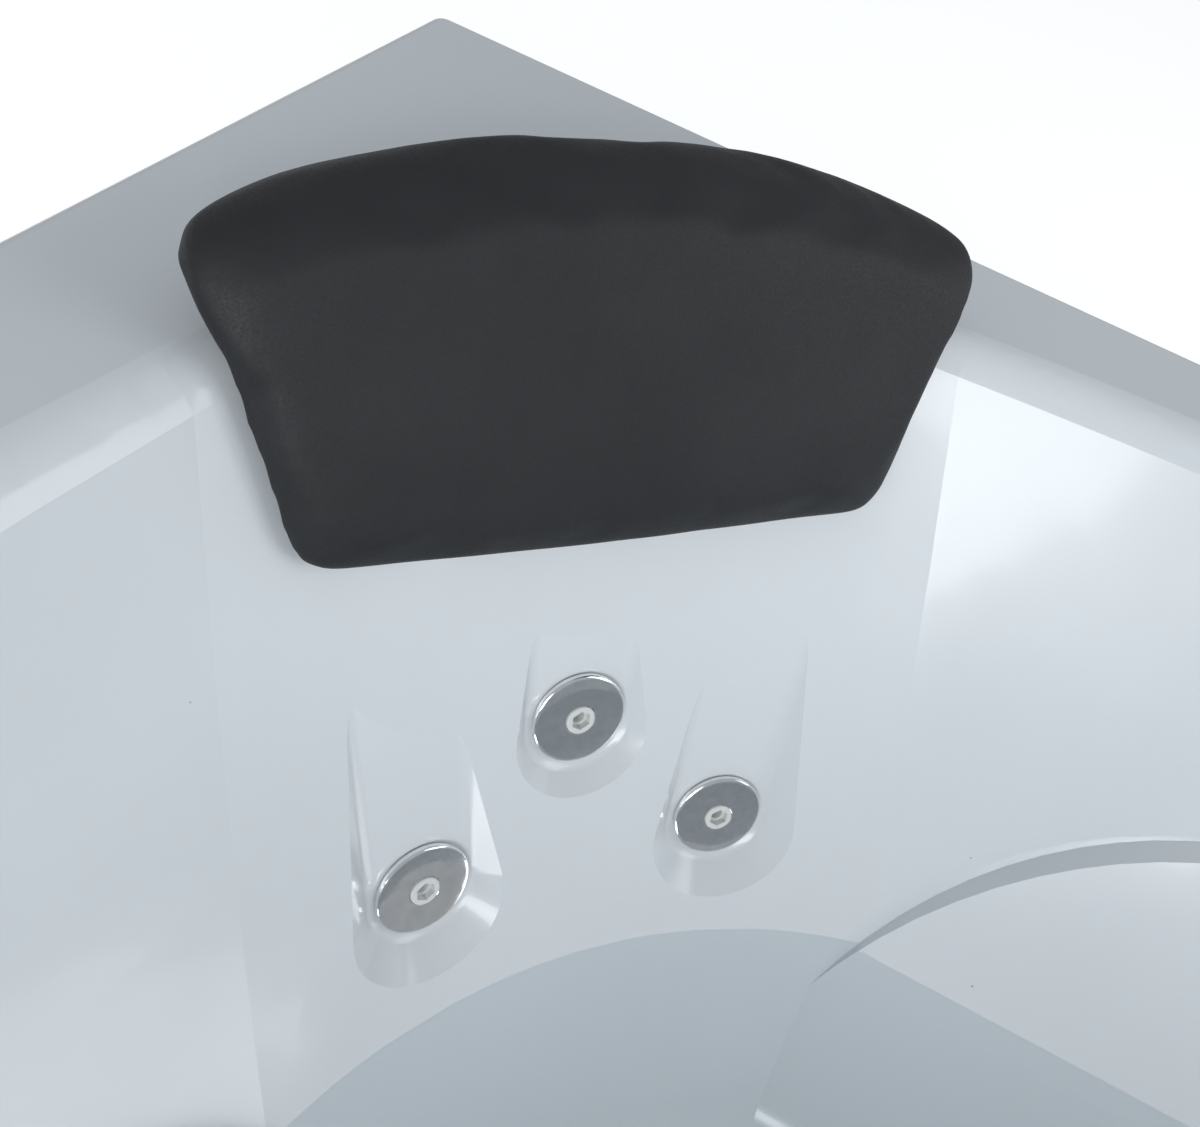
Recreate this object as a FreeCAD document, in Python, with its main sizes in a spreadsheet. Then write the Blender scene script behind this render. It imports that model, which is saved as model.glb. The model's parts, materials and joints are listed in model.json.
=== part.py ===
import FreeCAD, Part
import Sketcher
import math
import os
import re
from FreeCAD import Placement, Rotation, Vector

# Jetted corner bathtub, millimetres, +Z up.
# Origin: floor level, under the middle of the tub's outline. The room's corner is at +Y.

os.makedirs("parts", exist_ok=True)
doc = FreeCAD.newDocument("jetted_corner_bathtub")

# ---------------------------------------------------------------- driving dimensions

DIMENSIONS = (
    # outline and levels
    ("wall_length", 1350, "outer edge along each room wall"),
    ("end_width", 350, "short end beside the curved front"),
    ("front_radius", 945, "curved front edge"),
    ("deck_height", 600, "top of the deck above the floor"),
    ("basin_depth", 440, "deck to basin floor"),
    ("apex_radius", 10, "rounding of the corner edge"),
    ("end_corner_radius", 22, "rounding of the edges at the short ends"),
    ("shell_wall", 6, "laminate thickness"),
    ("lip_height", 45, "turned-down edge of the deck"),
    ("deck_edge_radius", 8, "outer top edge"),
    ("rim_radius", 24, "rolled edge between deck and basin"),
    # basin wall
    ("back_inset", 256, "corner to the back wall at deck level"),
    ("back_radius_top", 299, "back wall in plan at deck level"),
    ("back_radius_floor", 395, "back wall in plan at floor level"),
    ("back_lean", 32, "back wall from upright, degrees"),
    ("back_half_angle_top", 36.5, "half angle of the back arc at deck level, degrees"),
    ("back_half_angle_floor", 25, "half angle of the back arc at floor level, degrees"),
    ("side_inset", 70, "room wall to the side wall at deck level"),
    ("side_lean", 22.8, "side wall from upright, degrees"),
    ("front_inset", 70, "curved front edge to the basin at deck level"),
    ("front_lean", 22, "front wall from upright, degrees"),
    ("basin_end_radius", 165, "basin corner at the short ends"),
    ("floor_radius", 60, "rounding between walls and floor"),
    # side ledge
    ("ledge_drop", 160, "deck to the level part of the side ledge"),
    ("ledge_start", 700, "where the level part begins, along the room wall"),
    ("ledge_sweep_radius", 262, "downward sweep of the ledge towards the back"),
    ("ledge_fall", 8, "slope of the ledge towards the basin, degrees"),
    ("slope_lean", 29.3, "side slope under the ledge from upright, degrees"),
    ("slope_foot", 305, "room wall to the side slope at floor level"),
    # jets
    ("jet_top_drop", 193, "deck to the upper jet"),
    ("jet_top_inset", 368.8, "corner to the upper jet"),
    ("jet_side_drop", 255, "deck to the lower jets"),
    ("jet_side_inset", 412.8, "corner to the lower jets"),
    ("jet_side_spread", 87, "middle to each lower jet"),
    ("jet_side_turn", 11.3, "turn of each lower jet to the middle, degrees"),
    ("jet_lean", 24, "jet recess floor from upright, degrees"),
    ("jet_cover_diameter", 52, "chrome disc"),
    ("jet_cover_thickness", 3.6, "chrome disc"),
    ("jet_screw_diameter", 16, "head of the hollow screw"),
    ("jet_screw_socket", 9.5, "hexagon across flats"),
    ("jet_screw_stem", 12, "hollow screw in the jet body"),
    ("jet_screw_bore", 7, "water way through the hollow screw"),
    ("jet_cover_seat", 17.2, "round recess of the disc for the screw head"),
    ("jet_stem_diameter", 25.4, "body stem through the shell"),
    ("jet_flange_diameter", 44, "body flange behind the shell"),
    ("jet_body_diameter", 32, "barrel behind the shell"),
    ("jet_body_length", 46, "shell to the end of the barrel"),
    ("air_barb_depth", 30, "shell to the air barb of a jet"),
    ("recess_half_width", 28, "jet recess floor"),
    ("recess_flare", 20, "jet recess side, outwards over 20 of depth"),
    ("recess_below", 2, "round end of the recess below the jet"),
    ("recess_above", 125, "recess floor above the jet, where it has run out of the wall"),
    ("recess_round", 10, "rounding at the recess floor"),
    # pillow
    ("pillow_top_half_width", 188, "upper corners"),
    ("pillow_bottom_half_width", 150, "lower corners"),
    ("pillow_length", 143, "upper to lower corners along the face"),
    ("pillow_arch", 34, "rise of the top edge in the middle"),
    ("pillow_belly", 4, "fall of the lower edge in the middle"),
    ("pillow_thickness", 62, "cushion at the top roll"),
    ("pillow_crown", 3, "rise of the face in the middle"),
    ("pillow_top_round", 26, "rolled upper edge"),
    ("pillow_side_round", 10, "rounded sides and lower edge"),
    ("pillow_corner", 16, "rounded corners of the outline"),
    ("cup_diameter", 34, "suction cup behind the pillow"),
    ("cup_spread", 70, "middle to each suction cup"),
    ("cup_drop", 45, "deck to the suction cups"),
    ("pillow_lean", 25, "cushion face from upright, degrees"),
    ("pillow_top_rise", 50, "upper corners above the deck"),
    ("pillow_face_inset", 299, "corner to the upper edge of the face"),
    # frame and feet
    ("board_thickness", 18, "board under the basin floor"),
    ("tube_side", 30, "square frame tube"),
    ("tube_wall", 2, "square frame tube"),
    ("frame_inset", 35, "room wall to the tube's middle"),
    ("frame_height", "=deck_height - basin_depth - shell_wall - board_thickness - tube_side",
     "floor to the underside of the frame, which carries the board"),
    ("front_post_angle", 22, "front posts from the middle, degrees"),
    ("crossbar_rear", 620, "corner to the rear crossbar"),
    ("crossbar_front", 1100, "corner to the front crossbar"),
    ("foot_pad_diameter", 60, "levelling foot"),
    ("foot_pad_height", 14, "levelling foot"),
    ("foot_stud_diameter", 12, "levelling foot"),
    ("foot_nut_flats", 19, "lock nut across flats"),
    ("foot_nut_height", 8, "lock nut"),
    # apron
    ("apron_thickness", 5, "skirt panel"),
    ("apron_gap", 3, "deck lip to the skirt panel"),
    ("apron_clearance", 12, "floor to the skirt panel"),
    ("apron_tuck", 30, "skirt panel behind the deck lip"),
    # pump
    ("manifold_inset", 262, "corner to both manifolds"),
    ("manifold_half_length", 150, "middle to the end of each manifold"),
    ("water_manifold_drop", 375, "deck to the water manifold"),
    ("air_manifold_drop", 147, "deck to the air manifold"),
    ("air_manifold_diameter", 24, "air manifold"),
    ("air_hose_diameter", 12, "air hoses"),
    ("air_hose_wall", 2, "air hoses"),
    ("nipple_height", 25, "manifold's middle to the seat of a hose"),
    ("barb_length", 12, "barb inside a hose"),
    ("pump_along", 1235, "pump axis along the room wall"),
    ("pump_off", 110, "pump front from the room wall"),
    ("pump_centre_height", 77, "pump axis above its tray"),
    ("tray_thickness", 4, "steel tray under the pump"),
    ("pump_axis_height", "=frame_height + tube_side + tray_thickness + pump_centre_height",
     "pump axis above the floor"),
    ("volute_radius", 72, "pump casing"),
    ("volute_depth", 60, "pump casing"),
    ("casing_wall", 4, "pump casing"),
    ("motor_radius", 58, "motor housing"),
    ("motor_length", 170, "motor housing"),
    ("motor_wall", 6, "motor housing"),
    ("shaft_diameter", 12, "pump shaft"),
    ("impeller_radius", 52, "pump impeller"),
    ("running_gap", 0.05, "shaft in its bearings, radial"),
    ("fan_radius", 46, "cooling fan"),
    ("pump_inlet_reach", 30, "inlet in front of the casing"),
    ("pump_outlet_rise", 11, "outlet above the casing"),
    ("pressure_pipe_diameter", 40, "pipe from the pump to the jets"),
    ("pressure_pipe_off", 48, "pressure pipe from the room wall"),
    ("pressure_pipe_drop", 255, "deck to the pressure pipe"),
    ("pressure_pipe_slant", 105, "sideways run from the pump to the room wall"),
    ("suction_pipe_diameter", 50, "pipe from the basin to the pump"),
    ("pipe_wall", 2.5, "pipes"),
    ("air_pipe_diameter", 20, "air pipe"),
    ("air_pipe_wall", 2, "air pipe and air manifold"),
    ("air_pipe_off", 45, "air pipe from the room wall"),
    ("air_pipe_drop", 85, "deck to the air pipe"),
    ("signal_tube_diameter", 6, "tube from the push button"),
    ("signal_tube_drop", 170, "deck to the tube above the motor"),
    ("hose_diameter", 18, "jet hoses"),
    ("hose_wall", 3, "jet hoses"),
    # fittings
    ("suction_along", 880, "suction fitting along the room wall"),
    ("suction_drop", 335, "deck to the suction fitting"),
    ("suction_diameter", 94, "suction grille"),
    ("suction_stem", 49, "suction body through the shell"),
    ("suction_body_diameter", 68, "suction body behind the shell"),
    ("suction_body_depth", 70, "suction body behind the shell"),
    ("suction_branch_depth", 40, "shell to the middle of the suction branch"),
    ("suction_branch_reach", 50, "suction body's middle to the end of its branch"),
    ("suction_pipe_off", 34, "suction pipe from the room wall"),
    ("overflow_along", 900, "overflow along the room wall"),
    ("overflow_drop", 92, "deck to the overflow"),
    ("overflow_diameter", 72, "overflow plate"),
    ("overflow_knob_diameter", 50, "overflow knob"),
    ("overflow_shaft_diameter", 16, "shaft of the overflow knob"),
    ("overflow_stem", 44, "overflow body through the shell"),
    ("overflow_body_depth", 54, "overflow body behind the shell"),
    ("overflow_branch_depth", 31, "shell to the middle of the overflow branch"),
    ("overflow_branch_reach", 40, "overflow body's middle to the end of its branch"),
    ("drain_inset", 900, "corner to the drain"),
    ("drain_diameter", 70, "drain flange"),
    ("drain_bore", 52, "hole in the basin floor"),
    ("plug_stem_diameter", 10, "drain plug guide"),
    ("drain_body_radius", 31, "drain body under the floor"),
    ("drain_body_depth", 104, "drain body under the floor"),
    ("drain_branch_drop", 82, "basin floor to the middle of both branches"),
    ("drain_branch_reach", 44, "drain body's middle to the end of the overflow branch"),
    ("waste_outlet_reach", 60, "drain body's middle to the end of the waste outlet"),
    ("waste_collar_reach", 32, "drain body's middle to the shoulder that the waste pipe meets"),
    ("waste_collar_wall", 1.5, "shoulder around the waste outlet"),
    ("waste_pipe_diameter", 40, "overflow pipe and drain outlet"),
    ("air_control_along", 1300, "air control along the room wall"),
    ("air_control_off", 150, "air control from the room wall"),
    ("button_along", 1250, "push button along the room wall"),
    ("button_off", 62, "push button from the room wall"),
    ("control_bore", 30, "hole in the deck for each control"),
    ("control_diameter", 46, "flange of each control"),
    ("control_shaft_diameter", 10, "shaft of the air control"),
    ("valve_depth", 54, "air control below the deck"),
    ("button_cap_diameter", 24, "push button"),
    ("button_depth", 50, "push button below the deck"),
    ("seat_gap", 0.3, "clearance between curved or rubber faces and their seats"),
    ("thread_gap", 0.5, "radial clearance in holes for stems and studs"),
)

sizes = doc.addObject("Spreadsheet::Sheet", "sizes")
for row, (alias, value, note) in enumerate(DIMENSIONS, start=1):
    sizes.set("A%d" % row, alias)
    sizes.set("B%d" % row, str(value))
    sizes.set("C%d" % row, note)
    sizes.setAlias("B%d" % row, alias)
doc.recompute()
ALIASES = {alias for alias, value, note in DIMENSIONS}


def size(alias):
    return float(sizes.get(alias))


def cells(text):
    """An expression in plain size names, as the document reads it."""
    return re.sub(r"[a-z_][a-z_0-9]*", lambda m: "sizes." + m[0] if m[0] in ALIASES else m[0], str(text))


def amount(text):
    return float(sizes.evalExpression(cells(text)))


# ---------------------------------------------------------------- plan geometry of the tub

ROOT2 = math.sqrt(2)
QUARTER = math.radians(45)
deck = size("deck_height")
wall = size("shell_wall")
end_x = (size("wall_length") - size("end_width")) / ROOT2
end_y = -(size("wall_length") + size("end_width")) / ROOT2
front_centre = end_y + math.sqrt(size("front_radius") ** 2 - end_x ** 2)
tub_depth = size("front_radius") - front_centre
apex_cut = size("apex_radius") * (ROOT2 - 1)
apex_y = (tub_depth + apex_cut) / 2


def spot(x, y, drop):
    """Point given from the tub's corner: x to the right, y (negative) to the front, drop below the deck."""
    return Vector(x, y + apex_y, deck - drop)


def beside(side, along, off, height):
    """Point given along a room wall, off that wall, and above the floor; side is 1 right, -1 left."""
    return Vector(side * (along - off) / ROOT2, apex_y - (along + off) / ROOT2, height)


def into_room(side):
    """Unit vector square to a room wall, into the room."""
    return Vector(-side / ROOT2, -1 / ROOT2, 0)


def along_wall(side):
    """Unit vector along a room wall, away from the corner."""
    return Vector(side / ROOT2, -1 / ROOT2, 0)


def frame_at(origin, up, right):
    """Placement with its Z along up and its X as near to right as it can be."""
    return Placement(origin, Rotation(right, Vector(), up, "ZXY"))


# ---------------------------------------------------------------- modelling helpers

def new_body(label):
    body = doc.addObject("PartDesign::Body", label)
    body.Label = label
    return body


def new_sketch(body, role="XZ_Plane", lift=None):
    sketch = body.newObject("Sketcher::SketchObject", body.Label + "_sketch")
    plane = next(f for f in body.Origin.OriginFeatures if f.Role == role)
    sketch.AttachmentSupport = [(plane, "")]
    sketch.MapMode = "FlatFace"
    if lift is not None:
        sketch.setExpression("AttachmentOffset.Base.z", cells(lift))
    return sketch


def hold(sketch, kind, geometry, vertex, text):
    """Hold a point at a distance from the sketch's origin, bound to the sheet."""
    value = amount(text)
    if abs(value) < 1e-9:
        other = -1 if kind == "DistanceY" else -2
        sketch.addConstraint(Sketcher.Constraint("PointOnObject", geometry, vertex, other))
        return
    number = sketch.addConstraint(Sketcher.Constraint(kind, -1, 1, geometry, vertex, value))
    sketch.setExpression("Constraints[%d]" % number, cells(text))


def outline(sketch, corners):
    """Closed outline through corners, each held at two expressions of the sizes."""
    first = sketch.GeometryCount
    points = [Vector(amount(x), amount(y), 0) for x, y in corners]
    count = len(points)
    for i in range(count):
        sketch.addGeometry(Part.LineSegment(points[i], points[(i + 1) % count]))
    for i in range(count):
        follower = first + (i + 1) % count
        sketch.addConstraint(Sketcher.Constraint("Coincident", first + i, 2, follower, 1))
        hold(sketch, "DistanceX", first + i, 1, corners[i][0])
        hold(sketch, "DistanceY", first + i, 1, corners[i][1])


def disc(sketch, radius, x="0", y="0"):
    """Circle held at two expressions, its radius bound to a third."""
    number = sketch.addGeometry(Part.Circle(Vector(amount(x), amount(y), 0), Vector(0, 0, 1), amount(radius)))
    hold(sketch, "DistanceX", number, 3, x)
    hold(sketch, "DistanceY", number, 3, y)
    ring = sketch.addConstraint(Sketcher.Constraint("Radius", number, amount(radius)))
    sketch.setExpression("Constraints[%d]" % ring, cells(radius))


def hexagon(sketch, flats):
    """Hexagon about the origin, given across flats."""
    half = "(%s) / 2" % flats
    edge = "(%s) / sqrt(3)" % flats
    outline(sketch, [(half, "%s / 2" % edge), ("0", edge), ("-%s" % half, "%s / 2" % edge),
                     ("-%s" % half, "-%s / 2" % edge), ("0", "-%s" % edge), (half, "-%s / 2" % edge)])


def feature(body, kind, sketch, length=None, back=False, through=False):
    item = body.newObject("PartDesign::" + kind, body.Label + "_" + kind.lower())
    item.Profile = sketch
    if length is not None:
        item.setExpression("Length", cells(length))
    if through:
        item.Type = "ThroughAll"
        item.Midplane = True
    item.Reversed = back
    sketch.Visibility = False
    doc.recompute()
    return item


def turned(label, corners, body=None, kind="Revolution"):
    """Profile of (radius, height) corners turned about the piece's own Z axis."""
    body = body or new_body(label)
    sketch = new_sketch(body)
    outline(sketch, corners)
    item = body.newObject("PartDesign::" + kind, label + "_turn")
    item.Profile = sketch
    item.ReferenceAxis = (sketch, ["V_Axis"])
    item.Angle = 360
    doc.recompute()
    return body


def padded(label, corners, height, lift=None, back=False):
    """Outline in plan, raised by a height."""
    body = new_body(label)
    sketch = new_sketch(body, "XY_Plane", lift)
    outline(sketch, corners)
    feature(body, "Pad", sketch, height, back)
    return body


def cut_discs(body, spots, lift=None, length=None, back=False):
    """Round holes of (radius, x, y) along the body's own Z."""
    sketch = new_sketch(body, "XY_Plane", lift)
    for radius, x, y in spots:
        disc(sketch, radius, x, y)
    return feature(body, "Pocket", sketch, length, back, through=length is None)


def solid_piece(label, shape, place=None):
    piece = doc.addObject("Part::Feature", label)
    piece.Label = label
    piece.Shape = shape
    if place is not None:
        piece.Placement = place
    return piece


def cylinder(origin, axis, radius, length):
    return Part.makeCylinder(radius, length, origin, axis)


def tube_end(at, axis, radius, thickness):
    """Ring-shaped face square to a tube."""
    rims = [Part.Wire(Part.makeCircle(r, at, axis)) for r in (radius, radius - thickness)]
    return Part.makeFace(rims, "Part::FaceMakerBullseye")


def pipe(points, diameter, thickness, bend):
    """Open tube: straight runs joined by bends of one radius."""
    pieces = []
    start = points[0]
    for before, at, after in zip(points, points[1:], points[2:]):
        arrive = (at - before).normalize()
        leave = (after - at).normalize()
        half_turn = arrive.getAngle(leave) / 2
        reach = bend * math.tan(half_turn)
        first = at - arrive * reach
        centre = at + (leave - arrive).normalize() * (bend / math.cos(half_turn))
        pieces.append(tube_end(start, arrive, diameter / 2, thickness).extrude(first - start))
        arc = tube_end(first, arrive, diameter / 2, thickness)
        pieces.append(arc.revolve(centre, arrive.cross(leave), math.degrees(2 * half_turn)))
        start = at + leave * reach
    axis = (points[-1] - start).normalize()
    pieces.append(tube_end(start, axis, diameter / 2, thickness).extrude(points[-1] - start))
    return pieces[0].multiFuse(pieces[1:])


# ---------------------------------------------------------------- tub shell

def basin_section(drop, grow):
    """Basin outline in plan at one level, grown outwards; eight tangent arcs and lines."""
    share = drop / size("basin_depth")
    back = -size("back_inset") - drop * math.tan(math.radians(size("back_lean"))) + grow
    radius = size("back_radius_top") + share * (size("back_radius_floor") - size("back_radius_top")) + grow
    half_top, half_floor = size("back_half_angle_top"), size("back_half_angle_floor")
    half = math.radians(half_top + share * (half_floor - half_top))
    side_off = size("side_inset") + drop * math.tan(math.radians(size("side_lean"))) - grow
    front_lean = math.radians(size("front_lean"))
    front = size("front_radius") - size("front_inset") - drop * math.tan(front_lean) + grow
    end = size("basin_end_radius") + grow

    # back arc, then a side arc that ends along the room wall
    leave = (radius * math.sin(half), back - radius * (1 - math.cos(half)))
    off_there = -(leave[0] + leave[1]) / ROOT2
    side = (off_there - side_off) / (1 - math.cos(QUARTER - half))
    centre = (leave[0] - side * math.sin(half), leave[1] - side * math.cos(half))
    middle = (half + QUARTER) / 2
    side_middle = (centre[0] + side * math.sin(middle), centre[1] + side * math.cos(middle))
    side_end = (centre[0] + side * math.sin(QUARTER), centre[1] + side * math.cos(QUARTER))

    # end arc, tangent to the side line and to the front arc
    off_root = (side_off + end) / ROOT2
    half_b = front_centre
    rest = off_root ** 2 + (off_root + front_centre) ** 2 - (front - end) ** 2
    along = (-half_b + math.sqrt(half_b ** 2 - 2 * rest)) / 2
    end_centre = (along - off_root, -(along + off_root))
    end_start = (end_centre[0] + end / ROOT2, end_centre[1] + end / ROOT2)
    reach = math.hypot(end_centre[0], end_centre[1] - front_centre)
    aim = (end_centre[0] / reach, (end_centre[1] - front_centre) / reach)
    front_start = (front * aim[0], front_centre + front * aim[1])
    bisector = Vector(1 / ROOT2 + aim[0], 1 / ROOT2 + aim[1], 0).normalize()
    end_middle = (end_centre[0] + end * bisector.x, end_centre[1] + end * bisector.y)

    def at(point, side_sign=1):
        return spot(side_sign * point[0], point[1], drop)

    curves = [Part.Arc(at(leave, -1), at((0, back)), at(leave)),
              Part.Arc(at(leave), at(side_middle), at(side_end)),
              Part.LineSegment(at(side_end), at(end_start)),
              Part.Arc(at(end_start), at(end_middle), at(front_start)),
              Part.Arc(at(front_start), at((0, front_centre - front)), at(front_start, -1)),
              Part.Arc(at(front_start, -1), at(end_middle, -1), at(end_start, -1)),
              Part.LineSegment(at(end_start, -1), at(side_end, -1)),
              Part.Arc(at(side_end, -1), at(side_middle, -1), at(leave, -1))]
    return Part.Wire([curve.toShape() for curve in curves])


def bowl(grow, top, bottom):
    """Leaning basin wall down to a rounded floor."""
    levels = (top, size("basin_depth") / 2, bottom)
    block = Part.makeLoft([basin_section(level, grow) for level in levels], True, False)
    floor = deck - bottom
    low = [e for e in block.Edges if e.BoundBox.ZMax < floor + 0.01]
    return block.makeFillet(size("floor_radius"), low)


def side_fill(side, thickness):
    """Space under the side ledge and slope, lowered by the laminate's thickness."""
    lean = math.radians(size("slope_lean"))
    floor = size("basin_depth") + thickness
    radius = size("floor_radius")
    foot = size("slope_foot") + thickness * (math.tan(lean) - 1 / math.cos(lean))
    tangent = radius * math.tan((math.pi / 2 - lean) / 2)
    start = (foot - tangent * math.sin(lean), floor - tangent * math.cos(lean))
    end = (foot + tangent, floor)
    begin_angle = math.atan2(start[1] - (floor - radius), start[0] - end[0])
    middle_angle = (begin_angle + math.pi / 2) / 2
    middle = (end[0] + radius * math.cos(middle_angle), floor - radius + radius * math.sin(middle_angle))
    high = size("ledge_drop") / 2
    top = (foot - (floor - high) * math.tan(lean), high)
    outside = -200
    below = floor + 100
    first, last = 100, size("wall_length") + 200

    def rib(point):
        return beside(side, first, point[0], deck - point[1])

    corners = [(outside, high), top, start, middle, end, (end[0], below), (outside, below)]
    points = [rib(corner) for corner in corners]
    edges = [Part.LineSegment(points[0], points[1]), Part.LineSegment(points[1], points[2]),
             Part.Arc(points[2], points[3], points[4]), Part.LineSegment(points[4], points[5]),
             Part.LineSegment(points[5], points[6]), Part.LineSegment(points[6], points[0])]
    slope = Part.Face(Part.Wire([edge.toShape() for edge in edges])).extrude(along_wall(side) * (last - first))

    # ledge: level along the wall, swept down to the back, falling gently to the basin
    fall = math.tan(math.radians(size("ledge_fall")))
    sweep = size("ledge_sweep_radius")
    level_at = size("ledge_start")
    drop = size("ledge_drop") + thickness
    low_at = level_at - 0.99 * sweep
    mid_at = level_at - 0.6 * sweep
    ledge_off = size("side_inset") + size("ledge_drop") * math.tan(math.radians(size("side_lean")))

    def swept(along):
        return drop + sweep - math.sqrt(sweep ** 2 - (level_at - along) ** 2)

    def brow(along, fall_drop):
        return beside(side, along, outside, deck - fall_drop + (ledge_off - outside) * fall)

    edges = [Part.Arc(brow(low_at, swept(low_at)), brow(mid_at, swept(mid_at)), brow(level_at, drop)),
             Part.LineSegment(brow(level_at, drop), brow(last, drop)),
             Part.LineSegment(brow(last, drop), brow(last, 2 * deck)),
             Part.LineSegment(brow(last, 2 * deck), brow(low_at, 2 * deck)),
             Part.LineSegment(brow(low_at, 2 * deck), brow(low_at, swept(low_at)))]
    across = into_room(side) * 900 + Vector(0, 0, -900 * fall)
    ledge = Part.Face(Part.Wire([edge.toShape() for edge in edges])).extrude(across)
    return slope.common(ledge)


def jet_frames():
    """Name and placement of each jet: Z into the basin, Y up the wall, origin on the recess floor."""
    lean = math.radians(size("jet_lean"))
    turn = math.radians(size("jet_side_turn"))
    rows = (("top", 0, size("jet_top_inset"), size("jet_top_drop"), 0),
            ("left", -size("jet_side_spread"), size("jet_side_inset"), size("jet_side_drop"), turn),
            ("right", size("jet_side_spread"), size("jet_side_inset"), size("jet_side_drop"), -turn))
    frames = {}
    for name, x, inset, drop, angle in rows:
        out = Vector(math.sin(angle) * math.cos(lean), -math.cos(angle) * math.cos(lean), math.sin(lean))
        across = Vector(math.cos(angle), math.sin(angle), 0)
        frames[name] = frame_at(spot(x, -inset, drop), out, across)
    return frames


def recess_block(grow):
    """U-shaped pocket in its own frame: round lower end, sides that flare, floor rounded to the sides."""
    half, flare = size("recess_half_width") + grow, size("recess_flare")
    low = -size("recess_below")
    height, reach = 60, size("recess_above") - low

    def level(half_width, z):
        left, right = Vector(-half_width, low, z), Vector(half_width, low, z)
        tip = Vector(0, low - half_width, z)
        up = Vector(0, reach, 0)
        return Part.Wire([Part.Arc(left, tip, right).toShape(), Part.LineSegment(right, right + up).toShape(),
                          Part.LineSegment(right + up, left + up).toShape(),
                          Part.LineSegment(left + up, left).toShape()])

    block = Part.makeLoft([level(half, -grow), level(half + flare * height / 20, height - grow)], True, True)
    foot = [e for e in block.Edges
            if e.BoundBox.ZMax < 0.01 - grow and e.BoundBox.YMin < reach / 2 + low]
    return block.makeFillet(size("recess_round") + grow / 2, foot)


def deck_block(shrink, top_drop, bottom_drop):
    """Upright block with the tub's outline moved inwards, between two levels."""
    low = deck - bottom_drop
    length = size("wall_length") - shrink
    front = size("front_radius") - shrink
    # the short end runs square to the room wall until it meets the front arc
    p = length / ROOT2
    rest = p ** 2 + front_centre * p + (front_centre ** 2 - front ** 2) / 2
    end_off = ROOT2 * (-front_centre - math.sqrt(front_centre ** 2 - 4 * rest)) / 2
    apex = Vector(0, apex_y - shrink * ROOT2, low)
    belly = Vector(0, apex_y + front_centre - front, low)
    outer = {side: beside(side, length, shrink, low) for side in (1, -1)}
    inner = {side: beside(side, length, end_off, low) for side in (1, -1)}
    edges = [Part.LineSegment(apex, outer[1]), Part.LineSegment(outer[1], inner[1]),
             Part.Arc(inner[1], belly, inner[-1]), Part.LineSegment(inner[-1], outer[-1]),
             Part.LineSegment(outer[-1], apex)]
    plan = Part.Face(Part.Wire([edge.toShape() for edge in edges]))
    block = plan.extrude(Vector(0, 0, bottom_drop - top_drop))
    for radius, near_middle in ((size("apex_radius"), True), (size("end_corner_radius"), False)):
        upright = [e for e in block.Edges if e.BoundBox.XLength < 0.01 and e.BoundBox.YLength < 0.01]
        corner = [e for e in upright if (abs(e.BoundBox.Center.x) < radius * 2) == near_middle]
        if near_middle:
            corner = [e for e in corner if abs(e.BoundBox.Center.x) < 0.01]
        else:
            corner = [e for e in corner if abs(e.BoundBox.Center.x) > end_x / 2]
        block = block.makeFillet(max(radius - shrink, wall / 2), corner)
    return block


def basin_block(grow, thickness, top):
    """Basin with side ledges and jet recesses, as one block grown by the laminate."""
    block = bowl(grow, top, size("basin_depth") + thickness)
    block = block.cut([side_fill(side, thickness) for side in (1, -1)])
    for frame in jet_frames().values():
        recess = recess_block(thickness)
        recess.Placement = frame
        block = block.fuse(recess)
    return block


def tub_shell():
    """Deck with turned-down lip, basin, side ledges and jet recesses, all one laminate."""
    slab = deck_block(0, 0, size("lip_height")).cut(deck_block(wall, wall, size("lip_height") + 1))
    outer_top = [e for e in slab.Edges if e.BoundBox.ZMin > deck - 0.01]
    slab = slab.makeFillet(size("deck_edge_radius"), outer_top)
    grow = wall / math.cos(math.radians(size("back_lean")))
    body = basin_block(grow, wall, wall / 2)
    hollow = basin_block(0, 0, -10)
    shell = slab.fuse(body).cut(hollow)
    rim = [e for e in shell.Edges if e.BoundBox.ZMin > deck - 0.01 and deck_hole_edge(e)]
    return shell.makeFillet(size("rim_radius"), rim)


def deck_hole_edge(edge):
    """True on the deck's inner edge, which keeps well inside the outline."""
    middle = edge.valueAt((edge.FirstParameter + edge.LastParameter) / 2)
    off_walls = min(-(abs(middle.x) + middle.y - apex_y) / ROOT2, size("wall_length"))
    from_front = size("front_radius") - math.hypot(middle.x, middle.y - apex_y - front_centre)
    along = (abs(middle.x) - middle.y + apex_y) / ROOT2
    near = min(off_walls, size("wall_length") - along,
               from_front if middle.y < apex_y + front_centre else off_walls)
    return near > 2 * size("deck_edge_radius")


def wall_frame(side, along, off, drop, lean_degrees):
    """Frame on a leaning side wall: Z into the basin, X along the wall."""
    lean = math.radians(lean_degrees)
    out = into_room(side) * math.cos(lean) + Vector(0, 0, math.sin(lean))
    return frame_at(beside(side, along, off, deck - drop), out, along_wall(side) * side)


def suction_frame():
    above_floor = size("basin_depth") - size("suction_drop")
    off = size("slope_foot") - above_floor * math.tan(math.radians(size("slope_lean")))
    return wall_frame(1, size("suction_along"), off, size("suction_drop"), size("slope_lean"))


def overflow_frame():
    off = size("side_inset") + size("overflow_drop") * math.tan(math.radians(size("side_lean")))
    return wall_frame(-1, size("overflow_along"), off, size("overflow_drop"), size("side_lean"))


def drain_centre(height=0.0):
    return Vector(0, apex_y - size("drain_inset"), height)


floor_height = deck - size("basin_depth")
air_control_spot = beside(1, size("air_control_along"), size("air_control_off"), deck)
button_spot = beside(1, size("button_along"), size("button_off"), deck)

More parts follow.
